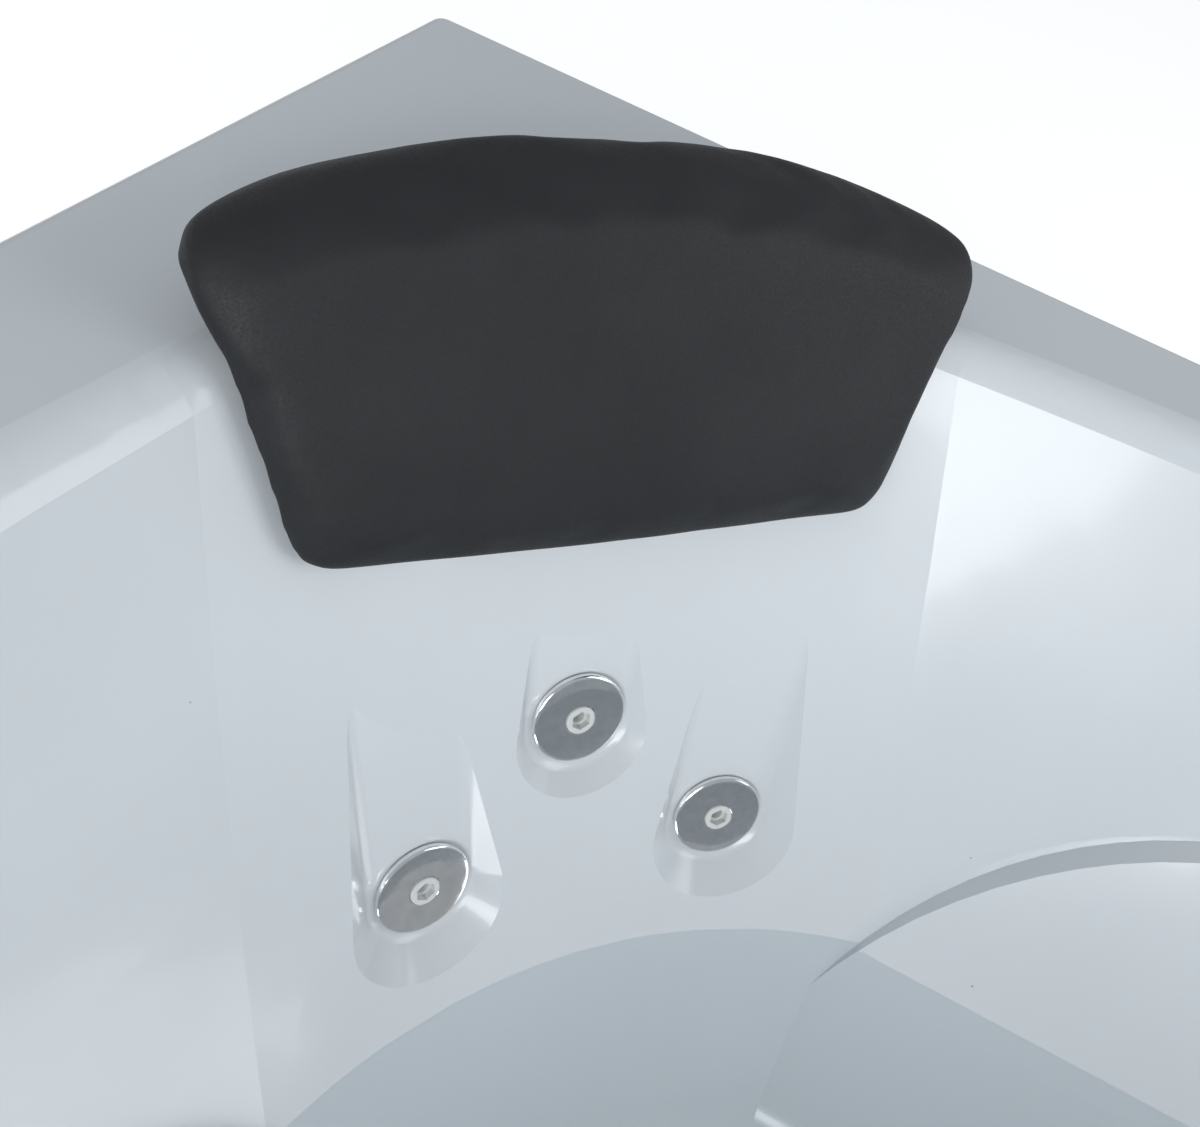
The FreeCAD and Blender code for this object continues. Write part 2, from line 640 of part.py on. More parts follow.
shell = tub_shell()
stem_hole = size("jet_stem_diameter") / 2 + size("thread_gap")
wall_holes = [(frame, stem_hole) for frame in jet_frames().values()]
wall_holes.append((suction_frame(), size("suction_stem") / 2 + size("thread_gap")))
wall_holes.append((overflow_frame(), size("overflow_stem") / 2 + size("thread_gap")))
level_holes = [(drain_centre(floor_height), size("drain_bore") / 2),
               (air_control_spot, size("control_bore") / 2), (button_spot, size("control_bore") / 2)]
wall_holes += [(Placement(centre, Rotation()), radius) for centre, radius in level_holes]
bore_reach = 3 * wall
bores = []
for frame, radius in wall_holes:
    bores.append(Part.makeCylinder(radius, 2 * bore_reach, Vector(0, 0, -bore_reach)))
    bores[-1].Placement = frame
shell = shell.cut(bores)

# ---------------------------------------------------------------- pillow

def round_tip(first, tip, beyond):
    """Three points of a round corner, from one before the tip to one as far behind it."""
    reach = (tip - first).Length
    arrive = (tip - first).normalize()
    leave = (beyond - tip).normalize()
    depth = reach * math.tan(arrive.getAngle(leave) / 4)
    return [first, tip + (leave - arrive).normalize() * depth, tip + leave * reach]


def pillow_section(depth, top_in, side_in, bottom_in):
    """Cushion outline at one depth behind its face: arched top, leaning sides, round corners."""
    top, bottom = size("pillow_top_half_width"), size("pillow_bottom_half_width")
    arch, belly, corner = size("pillow_arch"), size("pillow_belly"), size("pillow_corner")
    sweep = (top ** 2 + arch ** 2) / (2 * arch)
    sag = (bottom ** 2 + belly ** 2) / (2 * belly)
    high = arch - sweep - top_in
    low = sag - belly - size("pillow_length") + bottom_in
    top -= side_in
    bottom -= side_in

    def upper(x):
        return Vector(x, high + math.sqrt(sweep ** 2 - x ** 2), -depth)

    def lower(x):
        return Vector(x, low - math.sqrt(sag ** 2 - x ** 2), -depth)

    def mirrored(points):
        return [Vector(-p.x, p.y, p.z) for p in reversed(points)]

    shoulder = round_tip(upper(top - corner), upper(top), lower(bottom))
    hem = round_tip(lower(bottom - corner), lower(bottom), upper(top))[::-1]
    left_shoulder, left_hem = mirrored(shoulder), mirrored(hem)
    curves = [Part.Arc(left_shoulder[2], upper(0), shoulder[0]), Part.Arc(*shoulder),
              Part.LineSegment(shoulder[2], hem[0]), Part.Arc(*hem), Part.Arc(hem[2], lower(0), left_hem[0]),
              Part.Arc(*left_hem), Part.LineSegment(left_hem[2], left_shoulder[0]), Part.Arc(*left_shoulder)]
    return Part.Wire([curve.toShape() for curve in curves])


pillow_lean = math.radians(size("pillow_lean"))
pillow_frame = frame_at(spot(0, -size("pillow_face_inset"), -size("pillow_top_rise")),
                        Vector(0, -math.cos(pillow_lean), math.sin(pillow_lean)), Vector(1, 0, 0))


def roll(depth, radius):
    """How far a quarter-round edge stands in at one depth."""
    left = max(radius - depth, 0.0)
    return radius - math.sqrt(radius ** 2 - left ** 2)


def head_pillow():
    """Cushion with a crowned face and a crescent back, cut to the deck and the back wall."""
    crown, thick = size("pillow_crown"), size("pillow_thickness")
    top_round, side_round = size("pillow_top_round"), size("pillow_side_round")
    full_width = 2 * side_round
    rows = [(-crown, 70, 60, 55), (-0.6 * crown, 48, 34, 32)]
    for share in (0, 0.04, 0.12, 0.23, 0.4, 0.6, 1):
        depth = share * top_round
        side = roll(depth, side_round)
        rows.append((depth, roll(depth, top_round), side, side))
    for share in (0.25, 0.5, 0.7, 0.85, 1):
        depth = top_round + share * (thick - top_round)
        rows.append((depth, roll(thick - depth, side_round), max(depth - full_width, 0) ** 2 / 32, 0))
    cushion = Part.makeLoft([pillow_section(*row) for row in rows], True, True)
    cushion.Placement = pillow_frame
    gap = size("seat_gap")
    half = size("wall_length")
    mass = Part.makeBox(2 * half, half, deck, Vector(-half, apex_y - half / 2, gap))
    mass = mass.cut(bowl(-gap, -2 * gap, size("basin_depth")))
    return cushion.cut(mass)


def cup_frame(x, drop):
    """Frame on the back wall for a suction cup."""
    radius = size("back_radius_top")
    back = -size("back_inset") - drop * math.tan(math.radians(size("back_lean")))
    turn = math.asin(x / radius)
    lean = math.radians(size("back_lean"))
    out = Vector(-math.sin(turn) * math.cos(lean), -math.cos(turn) * math.cos(lean), math.sin(lean))
    y = back - radius * (1 - math.cos(turn))
    return frame_at(spot(x, y, drop), out, Vector(math.cos(turn), -math.sin(turn), 0))


pillow = head_pillow()
cup_radius, cup_height, cup_lift = size("cup_diameter") / 2, 6, 1.2
pocket_depth = cup_height + 4
cups = []
for side in (-1, 1):
    frame = cup_frame(side * size("cup_spread"), size("cup_drop"))
    pocket = Part.makeCylinder(cup_radius + 1.5, pocket_depth + 5, Vector(0, 0, -5))
    pocket.Placement = frame
    pillow = pillow.cut(pocket)
    cup = Part.makeCone(cup_radius, cup_height, cup_height, Vector(0, 0, cup_lift))
    button_low = cup_height + cup_lift - 0.2
    cup = cup.fuse(Part.makeCylinder(5, pocket_depth - button_low, Vector(0, 0, button_low)))
    cup.Placement = frame
    cups.append(cup)
solid_piece("head_pillow", pillow)
solid_piece("pillow_cups", Part.makeCompound(cups))

solid_piece("tub_shell", shell)

# ---------------------------------------------------------------- jets

def jet_cover(name, place):
    """Disc that leaves a step for the rounding of the recess, with a seat for the screw head."""
    hole = "jet_screw_stem / 2 + thread_gap"
    cover = turned("jet_cover_" + name, [
        (hole, "0"), ("jet_cover_diameter / 2 - 5", "0"), ("jet_cover_diameter / 2 - 5", "0.8"),
        ("jet_cover_diameter / 2 - 0.8", "0.8"), ("jet_cover_diameter / 2", "1.6"),
        ("jet_cover_diameter / 2", "jet_cover_thickness - 0.9"),
        ("jet_cover_diameter / 2 - 1.1", "jet_cover_thickness"), ("jet_cover_seat / 2", "jet_cover_thickness"),
        ("jet_cover_seat / 2", "jet_cover_thickness - 2"), (hole, "jet_cover_thickness - 2")])
    cover.Placement = place


def jet_nozzle(name, place):
    """Hollow screw with a hexagon socket that holds the cover."""
    head = "jet_screw_diameter / 2"
    nozzle = turned("jet_nozzle_" + name, [
        ("0", "-14"), ("jet_screw_stem / 2", "-14"), ("jet_screw_stem / 2", "jet_cover_thickness - 2"),
        (head, "jet_cover_thickness - 2"),
        (head, "jet_cover_thickness + 0.2"), (head + " - 0.8", "jet_cover_thickness + 1"),
        ("0", "jet_cover_thickness + 1")])
    cut_discs(nozzle, [("jet_screw_bore / 2", "0", "0")])
    socket = new_sketch(nozzle, "XY_Plane", "jet_cover_thickness + 1")
    hexagon(socket, "jet_screw_socket")
    feature(nozzle, "Pocket", socket, "4")
    nozzle.Placement = place


def jet_body(name, place):
    """Stem through the shell, flange behind it, barrel with a water barb and an air barb."""
    stem, flange, barrel = "jet_stem_diameter / 2", "jet_flange_diameter / 2", "jet_body_diameter / 2"
    water = "hose_diameter / 2 - hose_wall - seat_gap"
    air = "air_hose_diameter / 2 - air_hose_wall - seat_gap"
    screw = "jet_screw_stem / 2 + seat_gap"
    body = turned("jet_body_" + name, [
        ("0", "-1"), (stem, "-1"), (stem, "-shell_wall - 2"), (flange, "-shell_wall - 2"),
        (flange, "-shell_wall - 6"), (barrel, "-shell_wall - 6"), (barrel, "-jet_body_length"),
        (water, "-jet_body_length"), (water, "-jet_body_length - barb_length"),
        ("0", "-jet_body_length - barb_length")])
    for radius, length in (("air_hose_diameter / 2", "jet_body_diameter / 2 + 4"),
                           (air, "jet_body_diameter / 2 + 4 + barb_length")):
        sketch = new_sketch(body, "XZ_Plane")
        disc(sketch, radius, "0", "-air_barb_depth")
        feature(body, "Pad", sketch, length, back=True)
    turned("jet_body_" + name, [
        ("0", "-1"), (screw, "-1"), (screw, "-18"), (barrel + " - 6", "-22"),
        (barrel + " - 6", "-jet_body_length + 8"), (water + " - 1.5", "-jet_body_length + 4"),
        (water + " - 1.5", "-jet_body_length - barb_length"), ("0", "-jet_body_length - barb_length")],
        body, "Groove")
    sketch = new_sketch(body, "XZ_Plane")
    disc(sketch, air + " - 1.2", "0", "-air_barb_depth")
    feature(body, "Pocket", sketch, "jet_body_diameter")
    body.Placement = place


def ring(inner, outer, bottom, top):
    return Part.makeCylinder(outer, top - bottom, Vector(0, 0, bottom)).cut(
        Part.makeCylinder(inner, top - bottom, Vector(0, 0, bottom)))


gaskets = []
for name, frame in jet_frames().items():
    jet_cover(name, frame)
    jet_nozzle(name, frame)
    jet_body(name, frame)
    gasket = ring(stem_hole + 0.5, size("jet_flange_diameter") / 2 - 1, -wall - 2, -wall)
    gasket.Placement = frame
    gaskets.append(gasket)
solid_piece("jet_gaskets", Part.makeCompound(gaskets))

# ---------------------------------------------------------------- frame and feet

tube = size("tube_side")
tube_bore = tube - 2 * size("tube_wall")
rail_low = size("frame_height")
rail_top = rail_low + tube
deck_low = deck - wall
skin = wall + size("apron_gap") + size("apron_thickness")
inset = size("frame_inset")
corner_along = size("wall_length") - skin - tube / 2
post_angle = math.radians(size("front_post_angle"))
post_reach = size("front_radius") - skin - size("seat_gap") - tube / 2
middle_height = rail_low + tube / 2


def front_post_spot(side, height):
    return Vector(side * post_reach * math.sin(post_angle),
                  apex_y + front_centre - post_reach * math.cos(post_angle), height)


def room_block(side, first, last, near, far, low, high):
    """Block between two places along a room wall, two distances off it and two heights."""
    corners = [beside(side, first, near, low), beside(side, last, near, low),
               beside(side, last, far, low), beside(side, first, far, low)]
    return Part.Face(Part.makePolygon(corners + corners[:1])).extrude(Vector(0, 0, high - low))


def bar(first, last, side, extra=0.0):
    """Square bar between two points at one height."""
    run = last - first
    box = Part.makeBox(run.Length + 2 * extra, side, side, Vector(-extra, -side / 2, -side / 2))
    box.Placement = Placement(first, Rotation(Vector(1, 0, 0), run))
    return box


def hollow_bar(first, last, cutters):
    outer = bar(first, last, tube)
    inner = bar(first, last, tube_bore, 1.0)
    return outer.cut(inner).cut(cutters)


foot_spots = {"back": beside(1, inset, inset, 0), "left": beside(-1, corner_along, inset, 0),
              "right": beside(1, corner_along, inset, 0), "front_left": front_post_spot(-1, 0),
              "front_right": front_post_spot(1, 0)}
stud_holes = [cylinder(at + Vector(0, 0, rail_low - 5), Vector(0, 0, 1),
                       size("foot_stud_diameter") / 2 + size("thread_gap"), tube)
              for at in foot_spots.values()]

wall_rails = {}
for side, name, start in ((1, "right", inset - tube / 2), (-1, "left", inset + tube / 2)):
    ends = (beside(side, start, inset, middle_height),
            beside(side, corner_along + tube / 2, inset, middle_height))
    wall_rails[side] = bar(*ends, tube)
    solid_piece("frame_rail_" + name, hollow_bar(*ends, stud_holes))

front_rails = {}
for side, name in ((1, "right"), (-1, "left")):
    ends = (beside(side, corner_along, inset, middle_height), front_post_spot(side, middle_height))
    front_rails[side] = bar(*ends, tube)
    solid_piece("frame_rail_front_" + name, hollow_bar(*ends, stud_holes + [wall_rails[side]]))
ends = (front_post_spot(-1, middle_height), front_post_spot(1, middle_height))
solid_piece("frame_rail_front", hollow_bar(*ends, stud_holes + list(front_rails.values())))

crossbars = []
for place, meets in (("crossbar_rear", wall_rails), ("crossbar_front", front_rails)):
    reach = 0.6 * size("wall_length")
    ends = (spot(-reach, -size(place), deck - middle_height), spot(reach, -size(place), deck - middle_height))
    pieces = hollow_bar(*ends, list(meets.values())).Solids
    crossbars.append(max(pieces, key=lambda piece: piece.Volume))
solid_piece("frame_crossbars", Part.makeCompound(crossbars))

posts = []
for name, at in foot_spots.items():
    facing = at - Vector(0, apex_y + front_centre, 0) if name.startswith("front") else along_wall(1)
    turn = Rotation(Vector(1, 0, 0), facing)
    height = deck_low - rail_top
    post = Part.makeBox(tube, tube, height, Vector(-tube / 2, -tube / 2, 0))
    post = post.cut(Part.makeBox(tube_bore, tube_bore, height, Vector(-tube_bore / 2, -tube_bore / 2, 0)))
    post.Placement = Placement(at + Vector(0, 0, rail_top), turn)
    posts.append(post)
solid_piece("frame_posts", Part.makeCompound(posts))

nuts = []
for name, at in foot_spots.items():
    foot = turned("foot_" + name, [
        ("0", "0"), ("foot_pad_diameter / 2 - 2", "0"), ("foot_pad_diameter / 2", "2"),
        ("foot_pad_diameter / 2", "6"), ("foot_stud_diameter / 2 + 6", "foot_pad_height - 2"),
        ("foot_stud_diameter / 2 + 6", "foot_pad_height"), ("foot_stud_diameter / 2", "foot_pad_height"),
        ("foot_stud_diameter / 2", "frame_height + tube_side - 10"), ("0", "frame_height + tube_side - 10")])
    foot.Placement = Placement(at, Rotation())
    nut_edge = size("foot_nut_flats") / math.sqrt(3)
    turns = [k * math.pi / 3 for k in range(7)]
    corners = [Vector(nut_edge * math.cos(turn), nut_edge * math.sin(turn), 0) for turn in turns]
    nut = Part.Face(Part.makePolygon(corners)).extrude(Vector(0, 0, size("foot_nut_height")))
    nut = nut.cut(Part.makeCylinder(size("foot_stud_diameter") / 2 + size("seat_gap"), size("foot_nut_height")))
    nut.Placement = Placement(at + Vector(0, 0, rail_low - size("foot_nut_height")), Rotation())
    nuts.append(nut)
solid_piece("foot_nuts", Part.makeCompound(nuts))

board = padded("base_board", [("-150", "300"), ("150", "300"), ("560", "-100"), ("430", "-290"),
                              ("-430", "-290"), ("-560", "-100")], "board_thickness")
cut_discs(board, [("drain_diameter / 2 + 10", "0", "0")])
board.Placement = Placement(drain_centre(rail_top), Rotation())

# ---------------------------------------------------------------- skirt

skirt_top = size("lip_height") - size("apron_tuck")
skirt_low = deck - size("apron_clearance")
skirt = deck_block(wall + size("apron_gap"), skirt_top, skirt_low)
skirt = skirt.cut(deck_block(skin, skirt_top - 1, skirt_low + 1))
for side in (1, -1):
    skirt = skirt.cut(room_block(side, -100, size("wall_length") + 100, -100, inset - tube / 2 + 4, 0, deck))
solid_piece("apron_panel", skirt)

# ---------------------------------------------------------------- pump and motor

pump_place = frame_at(beside(1, size("pump_along"), size("pump_off"), size("pump_axis_height")),
                      into_room(1), along_wall(1))
back_end = "volute_depth + 8"
motor_end = "volute_depth + 8 + motor_length"
shaft_bore = "shaft_diameter / 2 + running_gap"
discharge_x = "volute_radius - pressure_pipe_diameter / 2 - 2"
discharge_top = "volute_radius + pump_outlet_rise"
inlet = "-pump_inlet_reach"

volute = turned("pump_volute", [
    ("0", inlet), ("suction_pipe_diameter / 2", inlet), ("suction_pipe_diameter / 2", "0"),
    ("volute_radius - 8", "0"), ("volute_radius", "8"), ("volute_radius", "volute_depth"),
    ("0", "volute_depth")])
sketch = new_sketch(volute, "XZ_Plane")
disc(sketch, "pressure_pipe_diameter / 2", discharge_x, "volute_depth / 2")
feature(volute, "Pad", sketch, discharge_top, back=True)
turned("pump_volute", [
    ("0", inlet), ("suction_pipe_diameter / 2 - casing_wall", inlet),
    ("suction_pipe_diameter / 2 - casing_wall", "casing_wall"),
    ("volute_radius - 10", "casing_wall"), ("volute_radius - casing_wall", "10"),
    ("volute_radius - casing_wall", "volute_depth"), ("0", "volute_depth")], volute, "Groove")
sketch = new_sketch(volute, "XZ_Plane")
disc(sketch, "pressure_pipe_diameter / 2 - casing_wall", discharge_x, "volute_depth / 2")
feature(volute, "Pocket", sketch, discharge_top, back=True)
volute.Placement = pump_place

backplate = turned("pump_backplate", [
    (shaft_bore, "volute_depth"), ("volute_radius + 4", "volute_depth"),
    ("volute_radius + 4", "volute_depth + 6"), ("motor_radius - 6", back_end), (shaft_bore, back_end)])
backplate.Placement = pump_place


def repeated(body, item, sketch, count):
    """Repeats a feature round the body's own Z."""
    ring = body.newObject("PartDesign::PolarPattern", body.Label + "_ring")
    ring.Originals = [item]
    ring.Axis = (sketch, ["N_Axis"])
    ring.Angle = 360
    ring.Occurrences = count
    body.Tip = ring
    doc.recompute()


def vanes(body, corners, lift, height, count):
    sketch = new_sketch(body, "XY_Plane", lift)
    outline(sketch, corners)
    repeated(body, feature(body, "Pad", sketch, height), sketch, count)


shaft_start, shaft_end = "20", motor_end + " + 20"
impeller = turned("pump_impeller", [
    ("0", "14"), ("14", "14"), ("14", "34"), ("impeller_radius", "36"), ("impeller_radius", "39"),
    (shaft_bore, "39"), (shaft_bore, shaft_start), ("0", shaft_start)])
vanes(impeller, [("10", "0"), ("impeller_radius - 4", "-18"), ("impeller_radius - 3", "-15"), ("11", "4")],
      "18", "18", 6)
impeller.Placement = pump_place

shaft = turned("pump_shaft", [
    ("0", shaft_start), ("shaft_diameter / 2", shaft_start), ("shaft_diameter / 2", shaft_end),
    ("0", shaft_end)])
shaft.Placement = pump_place

housing = turned("motor_housing", [
    (shaft_bore, back_end), ("motor_radius - 6", back_end), ("motor_radius - 4", back_end + " + 6"),
    ("motor_radius - 4", motor_end), (shaft_bore, motor_end)])
vanes(housing, [("motor_radius - 8", "-1.4"), ("motor_radius", "-1"), ("motor_radius", "1"),
                ("motor_radius - 8", "1.4")], back_end + " + 8", "motor_length - 16", 24)
seat = new_sketch(housing, "XY_Plane", back_end + " + 40")
outline(seat, [("-30", "motor_radius - 12"), ("30", "motor_radius - 12"), ("30", "motor_radius + 6"),
               ("-30", "motor_radius + 6")])
feature(housing, "Pad", seat, "84")
housing.Placement = pump_place

fan = turned("motor_fan", [
    (shaft_bore, motor_end + " + 6"), ("12", motor_end + " + 6"), ("12", motor_end + " + 23"),
    ("0", motor_end + " + 23"), ("0", shaft_end), (shaft_bore, shaft_end)])
vanes(fan, [("9", "-1"), ("fan_radius", "-1"), ("fan_radius", "1"), ("9", "1")], motor_end + " + 8", "12", 7)
fan.Placement = pump_place

cover_out, cover_in = "motor_radius - 4", "motor_radius - 6"
fan_cover = turned("motor_fan_cover", [
    (cover_in, motor_end), (cover_out, motor_end), (cover_out, motor_end + " + 30"),
    (cover_out + " - 4", motor_end + " + 34"), ("0", motor_end + " + 34"), ("0", motor_end + " + 32"),
    (cover_in + " - 3", motor_end + " + 32"), (cover_in, motor_end + " + 29")])
slot = new_sketch(fan_cover, "XY_Plane", motor_end + " + 31")
outline(slot, [("14", "-3.5"), ("38", "-5"), ("38", "5"), ("14", "3.5")])
repeated(fan_cover, feature(fan_cover, "Pocket", slot, "6", back=True), slot, 10)
fan_cover.Placement = pump_place

box = padded("motor_terminal_box", [("-35", "motor_radius + 6"), ("35", "motor_radius + 6"),
                                    ("35", "motor_radius + 36"), ("-35", "motor_radius + 36")],
             "80", back_end + " + 42")
gland = new_sketch(box, "XY_Plane", back_end + " + 122")
disc(gland, "9", "-20", "motor_radius + 21")
feature(box, "Pad", gland, "14")
gland_bore = new_sketch(box, "XY_Plane", back_end + " + 136")
disc(gland_bore, "5", "-20", "motor_radius + 21")
feature(box, "Pocket", gland_bore, "12")
box.Placement = pump_place

tray_top = rail_top + size("tray_thickness")
saddle_low = "-(pump_axis_height - frame_height - tube_side - tray_thickness)"
base = padded("pump_base", [("-46", saddle_low), ("46", saddle_low), ("46", "-motor_radius + 22"),
                            ("-46", "-motor_radius + 22")], "130", back_end + " + 20")
cut_discs(base, [("motor_radius + seat_gap", "0", "0")])
base.Placement = pump_place

tray_ends = (size("pump_along") - 70, corner_along - tube / 2 - 6)
tray_sides = (inset - tube / 2 + 2, size("pump_off") + size("volute_depth") + size("motor_length") + 60)
solid_piece("pump_tray", room_block(1, *tray_ends, *tray_sides, rail_top, tray_top))

# ---------------------------------------------------------------- water

pipe_wall = size("pipe_wall")
pressure = size("pressure_pipe_diameter")
manifold_y = -size("manifold_inset")
water_level = deck - size("water_manifold_drop")
discharge_along = size("pump_along") + size("volute_radius") - pressure / 2 - 2
discharge_off = size("pump_off") + size("volute_depth") / 2
discharge_height = size("pump_axis_height") + size("volute_radius") + size("pump_outlet_rise")
pipe_off = size("pressure_pipe_off")
pipe_level = deck - size("pressure_pipe_drop")
manifold_end = size("manifold_half_length")


def at_manifold(side, off, height):
    """Point off a room wall, level with the manifolds in plan."""
    return beside(side, size("manifold_inset") * ROOT2 - off, off, height)


pressure_route = [beside(1, discharge_along, discharge_off, discharge_height),
                  beside(1, discharge_along, discharge_off, pipe_level),
                  beside(1, discharge_along - size("pressure_pipe_slant"), pipe_off, pipe_level),
                  at_manifold(1, pipe_off, water_level),
                  spot(manifold_end, manifold_y, deck - water_level)]
solid_piece("pressure_pipe", pipe(pressure_route, pressure, pipe_wall, 40))

jets = jet_frames()
hose = size("hose_diameter")
seat_height = size("nipple_height")


def meet(start, direction, distance):
    """Where a line reaches the manifolds' plane, given by its distance from the tub's middle."""
    return start + direction * ((distance - start.y) / direction.y)


def manifold(height, diameter, thickness, nipples, out, collar, barb):
    """Closed tube across the corner with a barbed nipple for each hose."""
    start = spot(manifold_end, manifold_y, deck - height)
    length = 2 * manifold_end
    body = cylinder(start, Vector(-1, 0, 0), diameter / 2, length)
    hollow = cylinder(start, Vector(-1, 0, 0), diameter / 2 - thickness, length - thickness)
    for x in nipples:
        root = Vector(x, start.y, start.z)
        body = body.fuse(cylinder(root, out, collar, seat_height))
        body = body.fuse(cylinder(root, out, barb, seat_height + size("barb_length")))
        hollow = hollow.fuse(cylinder(root, out, barb - 1.5, seat_height + size("barb_length")))
    return body.cut(hollow)


water_hoses, water_nipples = [], []
for name, frame in jets.items():
    rear = frame.Rotation.multVec(Vector(0, 0, -1))
    end = frame.multVec(Vector(0, 0, -size("jet_body_length")))
    corner = meet(end, rear, apex_y + manifold_y)
    water_nipples.append(corner.x)
    foot = Vector(corner.x, corner.y, water_level + seat_height)
    water_hoses.append(pipe([foot, corner, end], hose, size("hose_wall"), 30))
solid_piece("water_hoses", Part.makeCompound(water_hoses))
barb = hose / 2 - size("hose_wall") - size("seat_gap")
solid_piece("water_manifold", manifold(water_level, pressure, pipe_wall, water_nipples, Vector(0, 0, 1),
                                       hose / 2, barb))

# ---------------------------------------------------------------- suction

suction_place = suction_frame()
grille = turned("suction_grille", [
    ("0", "0"), ("suction_diameter / 2 - 1", "0"), ("suction_diameter / 2", "1"),
    ("suction_diameter / 2 - 3", "4"),
    ("18", "6"), ("0", "6")])
for x in range(-32, 33, 8):
    reach = math.sqrt(38 ** 2 - x ** 2)
    sketch = new_sketch(grille, "XY_Plane")
    first, last = str(x - 2), str(x + 2)
    outline(sketch, [(first, str(-reach)), (last, str(-reach)), (last, str(reach)), (first, str(reach))])
    feature(grille, "Pocket", sketch, through=True)
grille.Placement = suction_place

stem, barrel = "suction_stem / 2", "suction_body_diameter / 2"
strainer = turned("suction_body", [
    ("0", "-1"), (stem, "-1"), (stem, "-shell_wall"), (barrel + " + 6", "-shell_wall"),
    (barrel + " + 6", "-shell_wall - 4"), (barrel, "-shell_wall - 4"), (barrel, "-suction_body_depth"),
    ("0", "-suction_body_depth")])
sketch = new_sketch(strainer, "YZ_Plane")
disc(sketch, "suction_pipe_diameter / 2", "0", "-suction_branch_depth")
feature(strainer, "Pad", sketch, "suction_branch_reach")
turned("suction_body", [
    ("0", "-1"), (stem + " - 3.5", "-1"), (stem + " - 3.5", "-8"), (barrel + " - casing_wall", "-12"),
    (barrel + " - casing_wall", "-suction_body_depth + casing_wall"),
    ("0", "-suction_body_depth + casing_wall")], strainer, "Groove")
sketch = new_sketch(strainer, "YZ_Plane")
disc(sketch, "suction_pipe_diameter / 2 - casing_wall", "0", "-suction_branch_depth")
feature(strainer, "Pocket", sketch, "suction_branch_reach", back=True)
strainer.Placement = suction_place

branch_end = Vector(size("suction_branch_reach"), 0, -size("suction_branch_depth"))
suction_start = suction_place.multVec(branch_end)
suction_along = size("suction_along")
start_off = -(suction_start.x + suction_start.y - apex_y) / ROOT2
bend_off = size("suction_pipe_off")
inlet_off = size("pump_off") - size("pump_inlet_reach")
suction_route = [suction_start, beside(1, suction_along + 90, start_off, suction_start.z),
                 beside(1, suction_along + 250, bend_off, size("pump_axis_height")),
                 beside(1, size("pump_along"), bend_off, size("pump_axis_height")),
                 beside(1, size("pump_along"), inlet_off, size("pump_axis_height"))]
solid_piece("suction_pipe", pipe(suction_route, size("suction_pipe_diameter"), pipe_wall, 45))

# ---------------------------------------------------------------- air

air_level = deck - size("air_manifold_drop")
air_hose = size("air_hose_diameter")
air_hoses, air_nipples = [], []
for name, frame in jets.items():
    up = frame.Rotation.multVec(Vector(0, 1, 0))
    end = frame.multVec(Vector(0, size("jet_body_diameter") / 2 + 4, -size("air_barb_depth")))
    corner = end + up * ((air_level - end.z) / up.z)
    air_nipples.append(corner.x)
    foot = Vector(corner.x, apex_y + manifold_y - seat_height, air_level)
    air_hoses.append(pipe([foot, corner, end], air_hose, size("air_hose_wall"), 25))
solid_piece("air_hoses", Part.makeCompound(air_hoses))
air_barb = air_hose / 2 - size("air_hose_wall") - size("seat_gap")
solid_piece("air_manifold", manifold(air_level, size("air_manifold_diameter"), size("air_pipe_wall"),
                                     air_nipples, Vector(0, -1, 0), air_hose / 2, air_barb))

control_along, control_off = size("air_control_along"), size("air_control_off")
pipe_level, pipe_off = deck - size("air_pipe_drop"), size("air_pipe_off")
air_route = [beside(1, control_along, control_off, deck - size("valve_depth")),
             beside(1, control_along, control_off, pipe_level),
             beside(1, control_along - 90, pipe_off, pipe_level),
             at_manifold(1, pipe_off, air_level), spot(manifold_end, manifold_y, deck - air_level)]
solid_piece("air_pipe", pipe(air_route, size("air_pipe_diameter"), size("air_pipe_wall"), 22))


def finger_grips(body, count, radius, reach, lift):
    """Hollows round the edge of a knob, above one height."""
    sketch = new_sketch(body, "XY_Plane", lift)
    for k in range(count):
        angle = 2 * math.pi * k / count
        disc(sketch, radius, "%.4f * (%s)" % (math.cos(angle), reach), "%.4f * (%s)" % (math.sin(angle), reach))
    feature(body, "Pocket", sketch, "14", back=True)


knob = turned("air_control_knob", [
    ("0", "-30"), ("control_shaft_diameter / 2", "-30"), ("control_shaft_diameter / 2", "seat_gap"),
    ("control_diameter / 2 - 2", "seat_gap"), ("control_diameter / 2", "2"),
    ("control_diameter / 2 - 1", "12"), ("control_diameter / 2 - 4", "15"), ("0", "15")])
finger_grips(knob, 12, "3", "control_diameter / 2 + 1.2", "3")
knob.Placement = Placement(air_control_spot, Rotation())

knob_bore = "control_shaft_diameter / 2 + running_gap"
valve_way = "air_pipe_diameter / 2 - air_pipe_wall"
collar = "control_bore / 2 - thread_gap"
valve = turned("air_control_valve", [
    (knob_bore, "0"), (collar, "0"), (collar, "-shell_wall"), ("20", "-shell_wall"),
    ("20", "-valve_depth + 10"), ("air_pipe_diameter / 2", "-valve_depth"), (valve_way, "-valve_depth"),
    (valve_way, "-34"), (knob_bore, "-34")])
valve.Placement = Placement(air_control_spot, Rotation())

